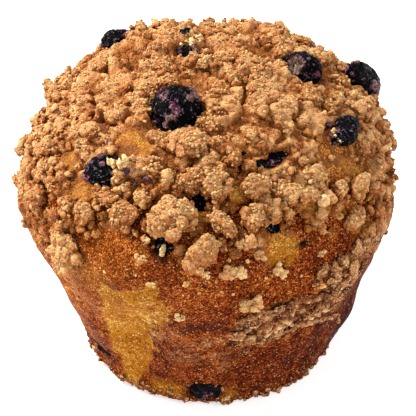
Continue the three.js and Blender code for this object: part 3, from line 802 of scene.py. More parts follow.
def crust_look(shader):
    toast_and_shade, pale, gold, stain_and_shade = shader.attributes("toast_and_shade", "pale", "gold", "stain_and_shade")
    mottle = shader.noise(420.0)
    grain = shader.group(GRAIN, Scale=2700.0, Strength=0.7)
    tips, draw = shader.span(grain["Height"], 0.1, 0.9), grain["Draw"]
    patches = shader.span(mottle, 0.3, 0.7)
    # The grain's tips are painted lighter and its pits darker in level, speck and the stain: painted light
    # and shade of the grain, along with a random draw for each grain.
    speck = shader.add_up(0.0, (tips, 0.5), (draw, 0.5))
    level = shader.add_up(0.38, (toast_and_shade, 1.0), (patches, 0.2), (tips, -0.45), (draw, -0.45))
    golden_level = shader.add_up(0.48, (speck, 0.5), (mottle, 0.35), (toast_and_shade, -0.6))
    pale_level = shader.add_up(0.44, (speck, 0.5), (mottle, 0.3), (toast_and_shade, -0.7))
    base = shader.mix(gold, shader.ramp(level, CRUST_SHADES), shader.ramp(golden_level, GOLDEN_SHADES))
    base = shader.mix(pale, base, shader.ramp(pale_level, PALE_SHADES))
    base = shader.mix(stain_and_shade, base, shader.mix(tips, (16, 11, 11), (58, 38, 24)))
    base = shader.flecked(base, (246, 206, 138), 0.65, Scale=2300.0, Size=0.36, Share=0.09)
    sugar = shader.math("MULTIPLY", gold, 0.5)
    base = shader.flecked(base, (252, 220, 140), sugar, Scale=1800.0, Size=0.42, Share=0.14)
    return base, shader.span(mottle, 0.3, 0.7, 0.45, 0.7), grain["Normal"]


def topping_look(shader):
    tip, tone, low, gold = shader.attributes("tip", "tone", "low", "gold")
    mottle = shader.noise(330.0)
    grain = shader.group(GRAIN, Scale=2100.0, Strength=0.55)
    tips, draw = shader.span(grain["Height"], 0.1, 0.9), grain["Draw"]
    # Lighter on grain and bead tips, as painted light, and darker where a lump lies low or faces down, as
    # painted shade.
    level = shader.add_up(0.12, (tone, 1.15), (mottle, 0.34), (tips, -0.1), (draw, -0.08), (tip, -0.26),
                          (low, 0.5))
    # Amber for the golden cake and, where crumbs lie low, as warm painted shade; lighter on grain tips.
    amber = shader.mix(tips, (170, 94, 18), (212, 154, 76))
    gold_and_shade_share = shader.math("MAXIMUM", gold, shader.math("MULTIPLY", low, 0.4))
    base = shader.mix(gold_and_shade_share, shader.ramp(level, TOPPING_SHADES), amber)
    base = shader.flecked(base, (72, 36, 18), 0.8, Scale=1300.0, Size=0.2, Share=0.2)
    # Pale sugar grains and painted highlights, strongest on the raised tips.
    raised = shader.span(tip, 0.3, 0.8, 0.12, 0.85)
    base = shader.flecked(base, (255, 232, 196), raised, Scale=1700.0, Size=0.34, Share=0.16)
    return base, shader.span(mottle, 0.3, 0.7, 0.5, 0.75), grain["Normal"]


def torn_look(shader):
    tip, tone, low = shader.attributes("tip", "tone", "low")
    mottle = shader.noise(380.0, 0.65)
    grain = shader.group(GRAIN, Scale=2000.0, Strength=0.8)
    tips, draw = shader.span(grain["Height"], 0.1, 0.9), grain["Draw"]
    # Lighter on grain and bead tips, as painted light, and darker where the crumb lies low or faces down, as
    # painted shade.
    level = shader.add_up(0.16, (tone, 1.0), (mottle, 0.4), (tips, -0.3), (draw, -0.3), (tip, -0.35),
                          (low, 0.5))
    base = shader.ramp(level, TORN_SHADES)
    base = shader.flecked(base, (255, 236, 204), 0.7, Scale=2100.0, Size=0.32, Share=0.14)
    return base, 0.6, grain["Normal"]


def berry_look(shader):
    ridge, flesh, pulp = shader.attributes("ridge", "flesh", "pulp")
    mottle = shader.noise(500.0)
    grain = shader.group(GRAIN, Scale=2400.0, Strength=0.6)
    height, draw = grain["Height"], grain["Draw"]
    # Wrinkle crests and grain tips painted pale grey on the black skin: painted highlights.
    crest = shader.add_up(0.0, (ridge, 0.8), (height, 0.3), (draw, 0.1))
    skin = shader.mix(shader.span(crest, 0.7, 0.95, 0.0, 0.85), (5, 3, 5), (126, 116, 130))
    skin = shader.mix(shader.span(mottle, 0.6, 0.75, 0.0, 0.4), skin, (34, 12, 28))
    inside = shader.ramp(shader.add_up(0.0, (mottle, 0.5), (draw, 0.35), (height, 0.3)), FLESH_SHADES)
    seeds = shader.ramp(shader.add_up(0.0, (mottle, 0.5), (draw, 0.25), (height, 0.25)), PULP_SHADES)
    base = shader.mix(flesh, skin, shader.mix(pulp, inside, seeds))
    return base, shader.span(mottle, 0.3, 0.7, 0.22, 0.42), grain["Normal"]


CRUST = finish_material("baked_crust", crust_look, specular=0.02, scatter=0.1)
TOPPING = finish_material("crumb_topping", topping_look, specular=0.15, scatter=0.55, radius=(1.2, 0.6, 0.25))
TORN = finish_material("torn_crumb", torn_look, specular=0.06, scatter=0.2, radius=(1.0, 0.5, 0.2))
SKIN = finish_material("berry_skin", berry_look, specular=0.05)


# ---- the cake ----

def berry_frame(name):
    """Centre, axes and half sizes of a berry as it shows."""
    azimuth, climb, size, turn, _ = BERRIES[name]
    axes = place_on(surface, azimuth, climb, turn)[1]
    low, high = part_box(name)
    centre = (np.array(low) + np.array(high)) / 2 / MM + OUTLINE_MIDDLE
    move, stretch, more_turn = SHOWN.get(name, ((0, 0, 0), (1, 1, 1), 0))
    return centre + move, turned(axes, more_turn), np.array(size) * stretch / 2


BERRY_FRAMES = {name: berry_frame(name) for name in BERRIES}


def berry_gap(points, covered=True):
    """Distance from the nearest berry's skin in millimetres, less where crumbs lie over its sides."""
    nearest = np.full(len(points), 99.0)
    for name, (centre, axes, radii) in BERRY_FRAMES.items():
        reach = np.linalg.norm((points - centre) @ axes / radii, axis=1)
        cover = COVERED.get(name, 0.0) if covered else 0.0
        nearest = np.minimum(nearest, (reach - 1) * radii.mean() + cover)
    return nearest


def sink_for_berries(points):
    """Points near a berry drawn in, so that its socket is open."""
    for centre, axes, radii in BERRY_FRAMES.values():
        room = radii + SOCKET_GAP
        local = (points - centre) @ axes / room
        inside = np.linalg.norm(local, axis=1) < 1
        if inside.any():
            # Points inside the berry go down its own axis to the far wall of the socket.
            flat = local[inside]
            depth = np.sqrt(np.maximum(1 - flat[:, 0] ** 2 - flat[:, 1] ** 2, 0))
            flat[:, 2] = np.minimum(flat[:, 2], -depth)
            points[inside] = centre + (flat * room) @ axes.T
    return points


# Columns round the crust; its rows, from one climb to another and how many; the rings of its underside.
CRUST_COLUMNS = 470
CRUST_ROWS = [(0, BASE_EDGE / RIM_HEIGHT, 6), (BASE_EDGE / RIM_HEIGHT, 1.2, 106), (1.2, 1.995, 42)]
UNDERSIDE_RINGS = (0.25, 0.5, 0.75, 0.92)


def crust():
    """Rows and columns of points, closed by a flat underside and by a point on top."""
    rows = np.unique(np.concatenate([np.linspace(*part) for part in CRUST_ROWS]))
    ring = np.arange(CRUST_COLUMNS)
    after = np.roll(ring, -1)
    azimuth = np.linspace(-180, 180, CRUST_COLUMNS, endpoint=False)
    side = surface(np.tile(azimuth, len(rows)), np.repeat(rows, CRUST_COLUMNS), grain=True)
    underside = [side[:CRUST_COLUMNS] * [share, share, 0] for share in UNDERSIDE_RINGS]
    points = np.concatenate([[[0, 0, 0]], *underside, side, surface([0.0], [2.0], grain=True)])
    starts = 1 + CRUST_COLUMNS * np.arange(len(UNDERSIDE_RINGS) + len(rows))
    faces = [np.stack([0 * ring, starts[0] + after, starts[0] + ring], 1)]
    for low, high in zip(starts, starts[1:]):
        faces.append(np.stack([low + ring, low + after, high + after], 1))
        faces.append(np.stack([low + ring, high + after, high + ring], 1))
    faces.append(np.stack([starts[-1] + ring, starts[-1] + after, 0 * ring + len(points) - 1], 1))
    azimuth, climb = places_of(points)
    points = sink_for_berries(points)
    values = crust_colours(points, azimuth, climb)
    return new_object("cake_crust", points, np.concatenate(faces), values, CRUST)


def crust_colours(points, azimuth, climb):
    """How toasted, golden, pale and stained the crust is at each point; the toast and the stain also carry
    painted shade.
    """
    smooth = smooth_point(azimuth, climb)
    ragged = 1.5 * noise_vectors(points, 4, 31, fractal)
    ragged_place = places_of(points + ragged)
    ragged_points = points + 0.7 * ragged
    large, small = fractal(points, 11, 35), fractal(points, 3.5, 36)
    ribs = value_noise(np.stack([azimuth * 0.7 - climb * 20, climb * 6, 0 * climb], 1), 2.2, 37)
    crown = smooth_step(climb, 1.02, 1.2)
    peel = peel_mask(*ragged_place)
    chip, chip_draw = chunks(smooth + 0.15 * ragged, 3.0, 29)
    _, torn, level = torn_relief(azimuth, climb, smooth)
    front = window(azimuth, -110, -102, -40, -10) * smooth_step(climb, 0.6, 0.75)
    flank = window(azimuth, -149, -144, -130, -125) * window(climb, 0.35, 0.6, 0.98, 1.06)

    # Darker towards the bottom of the wall, and painted shade on the side of the wall away from the key
    # light, lighter on the side toward it.
    wall_darkening = 0.2 * smooth_step(climb, 0.8, 0.25) + 0.1 * np.cos((azimuth + 30) * DEGREE)
    toast_and_shade = 0.5 + 0.1 * large + 0.07 * small + spots(azimuth, climb, TOASTED)
    toast_and_shade += (1 - crown) * (wall_darkening + 0.1 * front + 0.08 * ribs)
    # Under the crumbs the crown is painted darker, as painted shade of the crumb bed, except at the bare
    # patches.
    toast_and_shade += crown * (0.22 - 0.35 * bareness(ragged_points))
    # In the torn band the crumb is darker where it lies deep and lighter where it stands high: painted shade
    # and painted light.
    toast_and_shade += torn * (0.54 - 0.16 * smooth_step(azimuth, -60, -36) - toast_and_shade - 1.2 * level)
    # Painted shade in the crevices of the torn ledge.
    toast_and_shade += spots(azimuth, climb, LEDGE_CREVICE_SHADE)
    # Chipped patches are darker between the chips; in the golden channel the raised crumb is lighter and the
    # gaps darker, as painted light and shade.
    toast_and_shade += 0.3 * peel * (0.4 - chip) - 0.8 * crumbly(azimuth, climb, smooth)

    gold = channel_mask(*ragged_place)
    gold *= 1 - 0.55 * hump(azimuth, climb, -121, 0.83, 4, 0.06) - 0.3 * smooth_step(small + large, 0.1, 0.8)
    gold += 0.85 * bareness(ragged_points, True) * smooth_step(large + small, -0.7, 0.3)
    gold += spots(azimuth, climb, GILDED)

    pale = torn_band(*ragged_place) + 0.35 * flank * smooth_step(ribs, -0.1, 0.35)
    pale += 0.85 * peel * smooth_step(chip_draw + 0.4 * small, 0.25, 0.6) * smooth_step(chip, 0.0, 0.3)
    pale += 0.3 * hump(azimuth, climb, -107, 0.8, 5, 0.13)

    # Dark near the berries and at the STAINED spots; painted shade in the crack and in the hollow round
    # berry_hollow.
    stain_and_shade = 0.75 * np.exp(-np.maximum(berry_gap(points, False), 0) / 0.8) * smooth_step(small, -0.5, 0.4)
    stain_and_shade += spots(azimuth, climb, STAINED) + crack(azimuth, climb, 3.2, 0.012)
    stain_and_shade += hump(azimuth, climb, -104, 1.15, 4.2, 0.05) * smooth_step(small, -0.6, 0.2)
    masks = {"gold": gold, "pale": pale, "stain_and_shade": stain_and_shade}
    return {"toast_and_shade": toast_and_shade} | {key: np.clip(mask, 0, 1) for key, mask in masks.items()}


# ---- lumps ----

BURIED_SHARE = 0.66
FLATS_ON_A_LUMP = 7


class Pile:
    """Lumps laid on the cake one after another, each on the ground or on those below it."""

    def __init__(self, room=16000):
        self.centres = np.zeros((room, 3))
        self.axes = np.zeros((room, 3, 3))
        self.halves = np.zeros((room, 3))
        self.reach = np.zeros(room)
        self.tones = np.zeros(room)
        self.count = 0

    def lay(self, centre, axes, halves, tone):
        i = self.count
        self.centres[i], self.axes[i], self.halves[i] = centre, axes, halves
        self.reach[i], self.tones[i] = max(halves), tone
        self.count += 1

    def near(self, spot, reach):
        """The lumps that come within this reach of a spot."""
        gaps = self.centres[:self.count] - spot
        return np.flatnonzero(np.einsum("ij,ij->i", gaps, gaps) < (self.reach[:self.count] + reach) ** 2)

    def rest(self, spot, normal, reach, overlap=0.76):
        """Height over the spot at which a lump of this reach comes to rest on the others."""
        near = self.near(spot, reach)
        sizes = overlap * (self.halves[near] + reach)
        start = np.einsum("mi,mij->mj", spot - self.centres[near], self.axes[near]) / sizes
        along = np.einsum("i,mij->mj", normal, self.axes[near]) / sizes
        a, b = (along ** 2).sum(axis=1), (start * along).sum(axis=1)
        inside = b * b - a * ((start ** 2).sum(axis=1) - 1)
        over = inside > 0
        return ((np.sqrt(inside[over]) - b[over]) / a[over]).max() if over.any() else -9.0

    def levels(self, lowest, *limits):
        """How finely each lump is divided: the lowest level, and one more for each half size it passes."""
        return lowest + np.searchsorted(limits, self.halves[:self.count].mean(axis=1))

    def buried(self, points, chosen):
        """Which points of each chosen lump lie well inside another lump."""
        result = np.zeros(points.shape[:2], bool)
        for row, i in enumerate(chosen):
            near = self.near(self.centres[i], self.reach[i])
            near = near[near != i]
            local = np.einsum("vmi,mij->vmj", points[row][:, None] - self.centres[near], self.axes[near])
            local /= BURIED_SHARE * self.halves[near]
            result[row] = (np.einsum("vmj,vmj->vm", local, local) < 1).any(axis=1)
        return result


def broken_lumps(pile, chosen, level, rng, flats=0.82, wobble=0.22, bead=0.14, chunk=0.0):
    """Balls with flats knocked off, uneven and beaded, one for each chosen lump."""
    ball, faces = BALLS[level]
    count, corners = len(chosen), len(ball)
    unit = np.repeat(ball[None], count, axis=0)
    for _ in range(FLATS_ON_A_LUMP):
        direction = rng.normal(size=(count, 3))
        direction /= np.linalg.norm(direction, axis=1, keepdims=True)
        over = np.einsum("nvi,ni->nv", unit, direction) - rng.uniform(flats - 0.3, flats, count)[:, None]
        unit -= 0.85 * np.maximum(over, 0)[..., None] * direction[:, None]
    apart = rng.uniform(0, 400, (count, 1, 3))
    unit *= 1 + wobble * fractal((unit + apart).reshape(-1, 3), 0.8, 41).reshape(count, corners, 1)
    centres, halves = pile.centres[chosen][:, None], pile.halves[chosen]
    away = np.einsum("nij,nvj->nvi", pile.axes[chosen] * halves[:, None], unit)
    points = away + centres
    away /= np.linalg.norm(away, axis=2, keepdims=True)
    shift = noise_vectors(points.reshape(-1, 3), 0.7, 44)
    # How near a bead's top each point lies: the beads are raised by it, and the crumb materials paint these
    # tops lighter as painted light.
    tip = 1 - 1.35 * cell_distance(points.reshape(-1, 3) + 0.2 * shift, 0.7, 43).reshape(count, corners, 1)
    points += bead * np.minimum(halves.mean(axis=1), 1)[:, None, None] * tip * away
    if chunk:
        pieces = chunks(points.reshape(-1, 3) + 0.35 * shift, 2.3, 47)[0].reshape(count, corners, 1)
        points += chunk * (pieces - 0.4) * away
    every = (faces[None] + (np.arange(count) * corners)[:, None, None]).reshape(-1, 3)
    tones = np.repeat(pile.tones[chosen], corners)
    return points.reshape(-1, 3), every, {"tone": tones, "tip": np.clip(tip.ravel(), 0, 1)}


def face_sides(points, faces):
    """Middle, normal and area of each face."""
    a, b, c = points[faces[:, 0]], points[faces[:, 1]], points[faces[:, 2]]
    normal = np.cross(b - a, c - a)
    length = np.maximum(np.linalg.norm(normal, axis=1, keepdims=True), 1e-12)
    return (a + b + c) / 3, normal / length, length[:, 0] / 2


def showing(points, faces, values, shade, under_share):
    """The faces that stand out of the ground and don't face it, with painted shade where they lie low or face
    down.
    """
    above = height_above(points)
    middle, normal, area = face_sides(points, faces)
    upward = sum(np.bincount(faces[:, k], normal[:, 2] * area, len(points)) for k in range(3))
    total = sum(np.bincount(faces[:, k], area, len(points)) for k in range(3))
    # Sides that face down get painted shade, and so do lumps that lie low near the ground, through low.
    under = smooth_step(upward / np.maximum(total, 1e-9), 0.55, -0.35)
    values["low"] = np.clip(shade * (1 - smooth_step(above, 0.2, 2.8)) + under_share * under, 0, 1)
    facing = np.einsum("ij,ij->i", normal, outwards(middle))
    keep = (above[faces] > -0.1).any(axis=1) & (facing > -0.5)
    return keep_faces(points, faces, keep, values)


def joined(parts):
    """One set of points, faces and values from several."""
    points, faces, values = zip(*parts)
    starts = np.cumsum([0] + [len(part) for part in points])
    faces = np.concatenate([part + start for part, start in zip(faces, starts)])
    values = {key: np.concatenate([part[key] for part in values]) for key in values[0]}
    return np.concatenate(points), faces, values


def lumps_object(name, pile, levels, rng, material, wanted=range(1, 6), shade=1.0, under=0.75, **form):
    """One object of all the lumps whose levels are wanted."""
    parts = []
    for level in sorted(set(levels) & set(wanted)):
        chosen = np.flatnonzero(levels == level)
        points, faces, values = broken_lumps(pile, chosen, level, rng, **form)
        hidden = pile.buried(points.reshape(len(chosen), -1, 3), chosen).ravel()
        parts.append(showing(points, faces[~hidden[faces].all(axis=1)], values, shade, under))
    return new_object(name, *joined(parts), material)


# ---- the crumb topping ----

def topping_rise(points, azimuth, climb):
    """How far the fused topping stands over the cake, in millimetres, the height of its small chunks, used to
    paint their tops lighter as painted light, and its tone.
    """
    fine = noise_vectors(points, 0.9, 54)
    warped = points + 0.9 * noise_vectors(points, 2.4, 51) + 0.25 * fine
    large, tone = chunks(warped, 7.6, 57, 0.5)
    middle, second = chunks(warped, 3.7, 58, 0.9)
    small, third = chunks(points + 0.35 * fine, 1.45, 59, 0.6)
    rise = 2.2 * large + 1.6 * middle + 0.5 * small + 0.16 * fractal(points, 0.8, 60, 2) - 0.3
    fade = 0.2 + 0.3 * np.exp(-((azimuth + 88) / 38) ** 2)
    patch = (climb - topping_edge(azimuth)) / fade + 0.9 * value_noise(points, 5.5, 61)
    cover = smooth_step(patch, 0.15, 0.75) * smooth_step(berry_gap(points), -0.2, 1.3)
    rise = rise * (0.3 + 0.7 * cover) * (1 - 0.7 * bareness(points)) - 1.2 * (1 - cover)
    return rise, np.clip(small, 0, 1), 0.3 * tone + 0.4 * second + 0.3 * third


def topping_ground(azimuth, climb):
    """Places on top of the fused topping, or on the cake where there is none."""
    points = surface(azimuth, climb)
    rise = topping_rise(points, azimuth, climb)[0]
    return points + outwards(points) * np.maximum(rise, 0)[:, None]


FUSED_PARTS = 114
FUSED_FROM = 0.94


def fused_topping():
    """The lower, grown-together part of the topping."""
    ball, faces = even_ball(FUSED_PARTS)
    places = np.stack(places_of(CENTRE + RIM_RADIUS * ball), 1)
    over = (places[:, 1] > FUSED_FROM)[faces].all(axis=1)
    places, faces, _ = keep_faces(places, faces, over, {})
    azimuth, climb = places.T
    points = surface(azimuth, climb)
    rise, tip, tone = topping_rise(points, azimuth, climb)
    gold = 0.9 * bareness(points, True) * smooth_step(value_noise(points, 3.5, 62), -0.6, 0.3)
    hollows = smooth_step(fractal(points, 13, 63, 2), 0.15, 0.8) * smooth_step(rise, 2.2, 0.8)
    # tip paints the high chunk tops lighter and low paints the low places darker: painted light and painted
    # shade.
    values = {"tone": 0.2 + 0.35 * tone, "tip": tip * smooth_step(rise, 0.5, 2.2),
              "gold": np.maximum(gold, 0.7 * hollows), "low": smooth_step(rise, 1.5, 0.0)}
    keep = (rise[faces] > -0.3).any(axis=1)
    points = points + outwards(points) * rise[:, None]
    return new_object("topping_fused", *keep_faces(points, faces, keep, values), TOPPING)


def lay_clump(pile, base, axes, size, turn, tone, rng):
    """A large lump with smaller ones stuck round it."""
    length, width, height = size
    axes = turned(axes, turn, rng.uniform(-8, 8))
    halves = np.array([0.46 * length, 0.46 * width, 0.66 * height])
    pile.lay(base + 0.36 * height * axes[:, 2], axes, halves, tone)
    count = 2 + int(length * width / 12)
    around = rng.uniform(0, 2 * math.pi) + np.arange(count) * 2.4 + rng.uniform(-0.4, 0.4, count)
    reach = rng.uniform(0.45, 0.88, count)
    for angle, share, turns in zip(around, reach, random_turns(count, rng)):
        half = rng.uniform(0.09, 0.2) * math.sqrt(length * width)
        rise = height * (rng.uniform(0.15, 0.5) + 0.55 * (1 - share))
        local = np.array([length / 2 * math.cos(angle) * share, width / 2 * math.sin(angle) * share, rise])
        halves = half * rng.uniform(0.7, 1.35, 3)
        pile.lay(base + axes @ local, turns, halves, tone + rng.uniform(-0.12, 0.12))


def scatter_crumbs(pile, tries, smallest, largest, most_lift, share, lobes, rng):
    """Crumbs of one range of sizes, laid wherever they don't come to rest too high."""
    azimuth, climb = draw_places(tries, 0.9, 2, rng)
    ground, frames = topping_ground(azimuth, climb), surface_frames(azimuth, climb)
    chance = share * smooth_step(climb - topping_edge(azimuth), -0.06, 0.03) * (1 - 0.85 * bareness(ground))
    chance *= 1 - 0.75 * smooth_step(climb, 1.3, 1.6)
    sizes = smallest + (largest - smallest) * rng.random(tries) ** 1.6
    clear = (rng.random(tries) < chance) & (berry_gap(ground) > 0.55 * sizes)
    turns = random_turns(tries, rng)
    stretches = rng.uniform(0.65, 1.35, (tries, 3))
    # CRUMB_TONE_AND_SHADE makes crumbs darker or lighter by region: partly their own tone, partly painted
    # light and shade.
    tones = rng.normal(0.38, 0.15, tries) + spots(azimuth, climb, CRUMB_TONE_AND_SHADE)
    for i in np.flatnonzero(clear):
        normal, size, stretch = frames[i][:, 2], sizes[i], stretches[i]
        height = max(pile.rest(ground[i], normal, size), 0.1 * size)
        if height < 0.1 * size + most_lift:
            centre = ground[i] + height * normal
            pile.lay(centre, turns[i], size * stretch, tones[i])
            for _ in range(lobes):
                way = rng.normal(size=3)
                way *= rng.uniform(0.6, 1.0) * size / np.linalg.norm(way)
                pile.lay(centre + way, turns[i].T, size * rng.uniform(0.35, 0.65) * stretch[::-1], tones[i])


CLUMP_TRIES = 700


def lay_topping(rng):
    """The large clumps of the shown side, then clumps and crumbs at random."""
    pile = Pile()
    for azimuth, climb, *size, turn in CLUMPS:
        base, axes = place_on(surface, azimuth, climb, 0)
        # CRUMB_TONE_AND_SHADE makes clumps darker or lighter by region: partly their own tone, partly painted
        # light and shade.
        tone = rng.uniform(0.34, 0.56) + spots(azimuth, climb, CRUMB_TONE_AND_SHADE)
        lay_clump(pile, base + 0.5 * axes[:, 2], axes, size, turn, tone, rng)
    azimuth, climb = draw_places(CLUMP_TRIES, 0.98, 2, rng)
    ground, frames = surface(azimuth, climb), surface_frames(azimuth, climb)
    clear = (climb > topping_edge(azimuth) + 0.04) & (bareness(ground) < 0.4) & (berry_gap(ground) > 2.2)
    clear &= rng.random(CLUMP_TRIES) > 0.7 * smooth_step(climb, 1.4, 1.6)
    for i in np.flatnonzero(clear):
        length = rng.uniform(3.4, 6.4)
        if pile.rest(ground[i], frames[i][:, 2], 0.5 * length) < 0.3:
            size = length, length * rng.uniform(0.6, 1), rng.uniform(2.0, 3.0)
            turn = rng.uniform(0, 360)
            tone = rng.uniform(0.24, 0.6) + spots(azimuth[i], climb[i], CRUMB_TONE_AND_SHADE)
            lay_clump(pile, ground[i], frames[i], size, turn, tone, rng)
    for layer in CRUMB_LAYERS:
        scatter_crumbs(pile, *layer, rng)
    return pile


def outer_sides(obj):
    """Middle and normal of each face of an object, and how large and how far out it is."""
    points = np.empty(len(obj.data.vertices) * 3, np.float32)
    obj.data.vertices.foreach_get("co", points)
    points = points.reshape(-1, 3).astype(float) / MM + OUTLINE_MIDDLE
    corners = np.empty(len(obj.data.loops), np.int32)
    obj.data.loops.foreach_get("vertex_index", corners)
    middle, normal, area = face_sides(points, corners.reshape(-1, 3))
    facing = np.einsum("ij,ij->i", normal, outwards(middle))
    return middle, normal, area * smooth_step(facing, -0.1, 0.5) * smooth_step(height_above(middle), 0.3, 1.6)


def lay_beads(pile, objects, count, smallest, largest, upright, rng):
    """Small beads stuck on the outer sides of the lumps; upright ones keep to the sides that look up."""
    middles, normals, chances = (np.concatenate(part) for part in zip(*map(outer_sides, objects)))
    chances = chances * (1 - upright * smooth_step(normals[:, 2], 0.8, 0.2))
    picked = rng.choice(len(middles), count, False, chances / chances.sum())
    sizes = smallest + (largest - smallest) * rng.random(count) ** 1.5
    for side, size, turns in zip(picked, sizes, random_turns(count, rng)):
        centre = middles[side] + 0.25 * size * normals[side]
        # Beads on the sides that face up are a little lighter: painted light.
        pile.lay(centre, turns, size * rng.uniform(0.8, 1.25, 3), rng.uniform(0.1, 0.45) - 0.1 * upright)


def topping():
    """The five objects of the topping, from the lowest to the finest."""
    rng = np.random.default_rng(SEED + 1)
    pile = lay_topping(rng)
    levels = pile.levels(1, 0.48, 1.0, 1.9, 3.2)
    fused = fused_topping()
    clumps = lumps_object("topping_clumps", pile, levels, rng, TOPPING, (4, 5),
                          flats=0.92, wobble=0.28, bead=0.26, chunk=0.8)
    crumbs = lumps_object("topping_crumbs", pile, levels, rng, TOPPING, (3,), bead=0.18, chunk=0.25)
    bits = lumps_object("topping_bits", pile, levels, rng, TOPPING, (1, 2), bead=0.0)
    beads = Pile()
    lay_beads(beads, [fused, clumps, crumbs], 6200, 0.16, 0.36, 0.0, rng)
    lay_beads(beads, [clumps], 2200, 0.28, 0.52, 0.8, rng)
    lay_beads(beads, [fused, crumbs], 1800, 0.25, 0.45, 0.8, rng)
    return [fused, clumps, crumbs, bits,
            lumps_object("topping_beads", beads, beads.levels(1), rng, TOPPING, bead=0.0)]


def loose_crumbs():
    """Single crumbs fallen on the crust and on the berries."""
    rng = np.random.default_rng(SEED + 2)
    pile, berries_below = Pile(), Pile()
    for frame_of_berry in BERRY_FRAMES.values():
        berries_below.lay(*frame_of_berry, 0)
    for azimuth, climb, length, width, turn, tone in LOOSE:
        base, axes = place_on(topping_ground, azimuth, climb, turn)
        size = math.sqrt(length * width)
        lift = max(berries_below.rest(base, axes[:, 2], 0.0, 1.0) - 0.15 * size, 0.0)
        single = size < 1.3
        for turns in random_turns(1 if single else 4 + int(1.5 * size), rng):
            spot = rng.uniform(-0.33, 0.33, 3) * (length, width, 0) * (not single)
            half = size * (0.5 if single else rng.uniform(0.18, 0.3))
            spot[2] = lift + half * (0.6 if single else rng.uniform(0.4, 2.2))
            shade = max(tone - 0.18, -0.02) + rng.uniform(-0.1, 0.1)
            pile.lay(base + axes @ spot, turns, half * rng.uniform(0.75, 1.25, 3), shade)
    return lumps_object("loose_crumbs", pile, pile.levels(2, 0.6), rng, TOPPING, shade=0.0, under=0.8,
                        flats=0.74, wobble=0.34, bead=0.2)


# Crumbs along the edge of the base, and round the two berries there: from one angle to another.
BASE_CRUMBS = 420
CRUMBS_ROUND_BERRIES = {"berry_base": (5, 175, 16), "berry_base_left": (-30, 120, 16)}


def base_crumbs():
    """Brown crumbs along the edge of the base."""
    rng = np.random.default_rng(SEED + 6)
    pile = Pile()
    azimuth, climb = rng.uniform(-180, 180, BASE_CRUMBS), rng.uniform(0.012, 0.075, BASE_CRUMBS)
    ground = surface(azimuth, climb, grain=True)
    turns = random_turns(BASE_CRUMBS, rng)
    for spot, axes, size in zip(ground, turns, rng.uniform(0.25, 0.75, BASE_CRUMBS)):
        pile.lay(spot, axes, size * rng.uniform(0.7, 1.3, 3), rng.uniform(0.3, 0.7))
    for name, angles in CRUMBS_ROUND_BERRIES.items():
        centre, axes, radii = BERRY_FRAMES[name]
        for angle in np.radians(np.linspace(*angles)):
            size = rng.uniform(0.3, 0.6)
            x, y = np.array([math.cos(angle), math.sin(angle)]) * rng.uniform(0.8, 1.05)
            spot = radii * (x, y, math.sqrt(max(1 - x * x - y * y, 0.05)))
            pile.lay(centre + axes @ spot, axes, size * rng.uniform(0.7, 1.3, 3), rng.uniform(0.3, 0.6))
    return lumps_object("base_crumbs", pile, pile.levels(2), rng, TORN, shade=0.0)


# ---- the torn ledge ----

LEDGE_TRIES = 9000


def torn_ledge():
    """Shreds and bits of pale crumb on the torn ledge."""
    rng = np.random.default_rng(SEED + 3)
    pile = Pile()
    for azimuth, climb, *size, turn, tone in SHREDS:
        base, axes = place_on(surface, azimuth, climb, turn, rng.uniform(-25, 25))
        pile.lay(base + 0.5 * size[2] * axes[:, 2], axes, 0.46 * np.array(size), tone - 0.02)
    azimuth, climb = draw_places(LEDGE_TRIES, 0.4, 1.06, rng)
    ground = surface(azimuth, climb)
    chance = torn_band(azimuth, climb + 0.05 * value_noise(ground, 2.5, 71))
    chance *= smooth_step(value_noise(ground, 3.0, 72), -0.35, 0.35)
    chance *= 0.5 - 0.28 * smooth_step(azimuth, -56, -46)
    chosen = np.flatnonzero(rng.random(LEDGE_TRIES) < chance)
    azimuth, climb = azimuth[chosen], climb[chosen]
    for spot, axes in zip(surface(azimuth, climb, grain=True), surface_frames(azimuth, climb)):
        size = rng.uniform(0.22, 0.85)
        halves = size * np.array([rng.uniform(0.9, 1.9), rng.uniform(0.5, 0.9), rng.uniform(0.5, 0.95)])
        centre = spot + axes[:, 2] * size * rng.uniform(-0.2, 0.7)
        axes = turned(axes, rng.uniform(-10, 60), rng.uniform(-70, 70))
        pile.lay(centre, axes, halves, rng.uniform(0.0, 0.6))
    return lumps_object("torn_ledge", pile, pile.levels(2, 0.75), rng, TORN,
                        shade=0.7, wobble=0.38, bead=0.25, chunk=0.6)


# ---- berries ----

def wrinkles(points, seed):
    """Sharp wrinkles of dried skin: their height in millimetres and how near a crest each point is."""
    shift = noise_vectors(points, 1.6, seed)
    folds = 1 - 2.4 * np.abs(value_noise(points + 0.7 * shift, 1.1, seed + 3))
    fine = 1 - 2.4 * np.abs(value_noise(points + 0.4 * shift, 0.6, seed + 4))
    crests = 0.5 * np.maximum(folds, 0) + 0.5 * np.maximum(fine, 0)
    return 0.2 * folds + 0.13 * fine, np.clip(crests, 0, 1)


def hollow_end(name, axes):
    """Direction of a berry's hollow end along its own axes, None where it doesn't show."""
    if name in SEEN_HOLLOWS:
        across, up = SEEN_HOLLOWS[name]
        back = math.sqrt(1 - across ** 2 - up ** 2)
        return (np.array([across, 0, 0]) + up * VIEW_UP + back * VIEW_BACK) @ axes
    if name in OWN_HOLLOWS:
        tilt, direction = np.radians(OWN_HOLLOWS[name])
        sideways = np.array([math.cos(direction), math.sin(direction), 0])
        return math.sin(tilt) * sideways + np.array([0, 0, math.cos(tilt)])
    return None


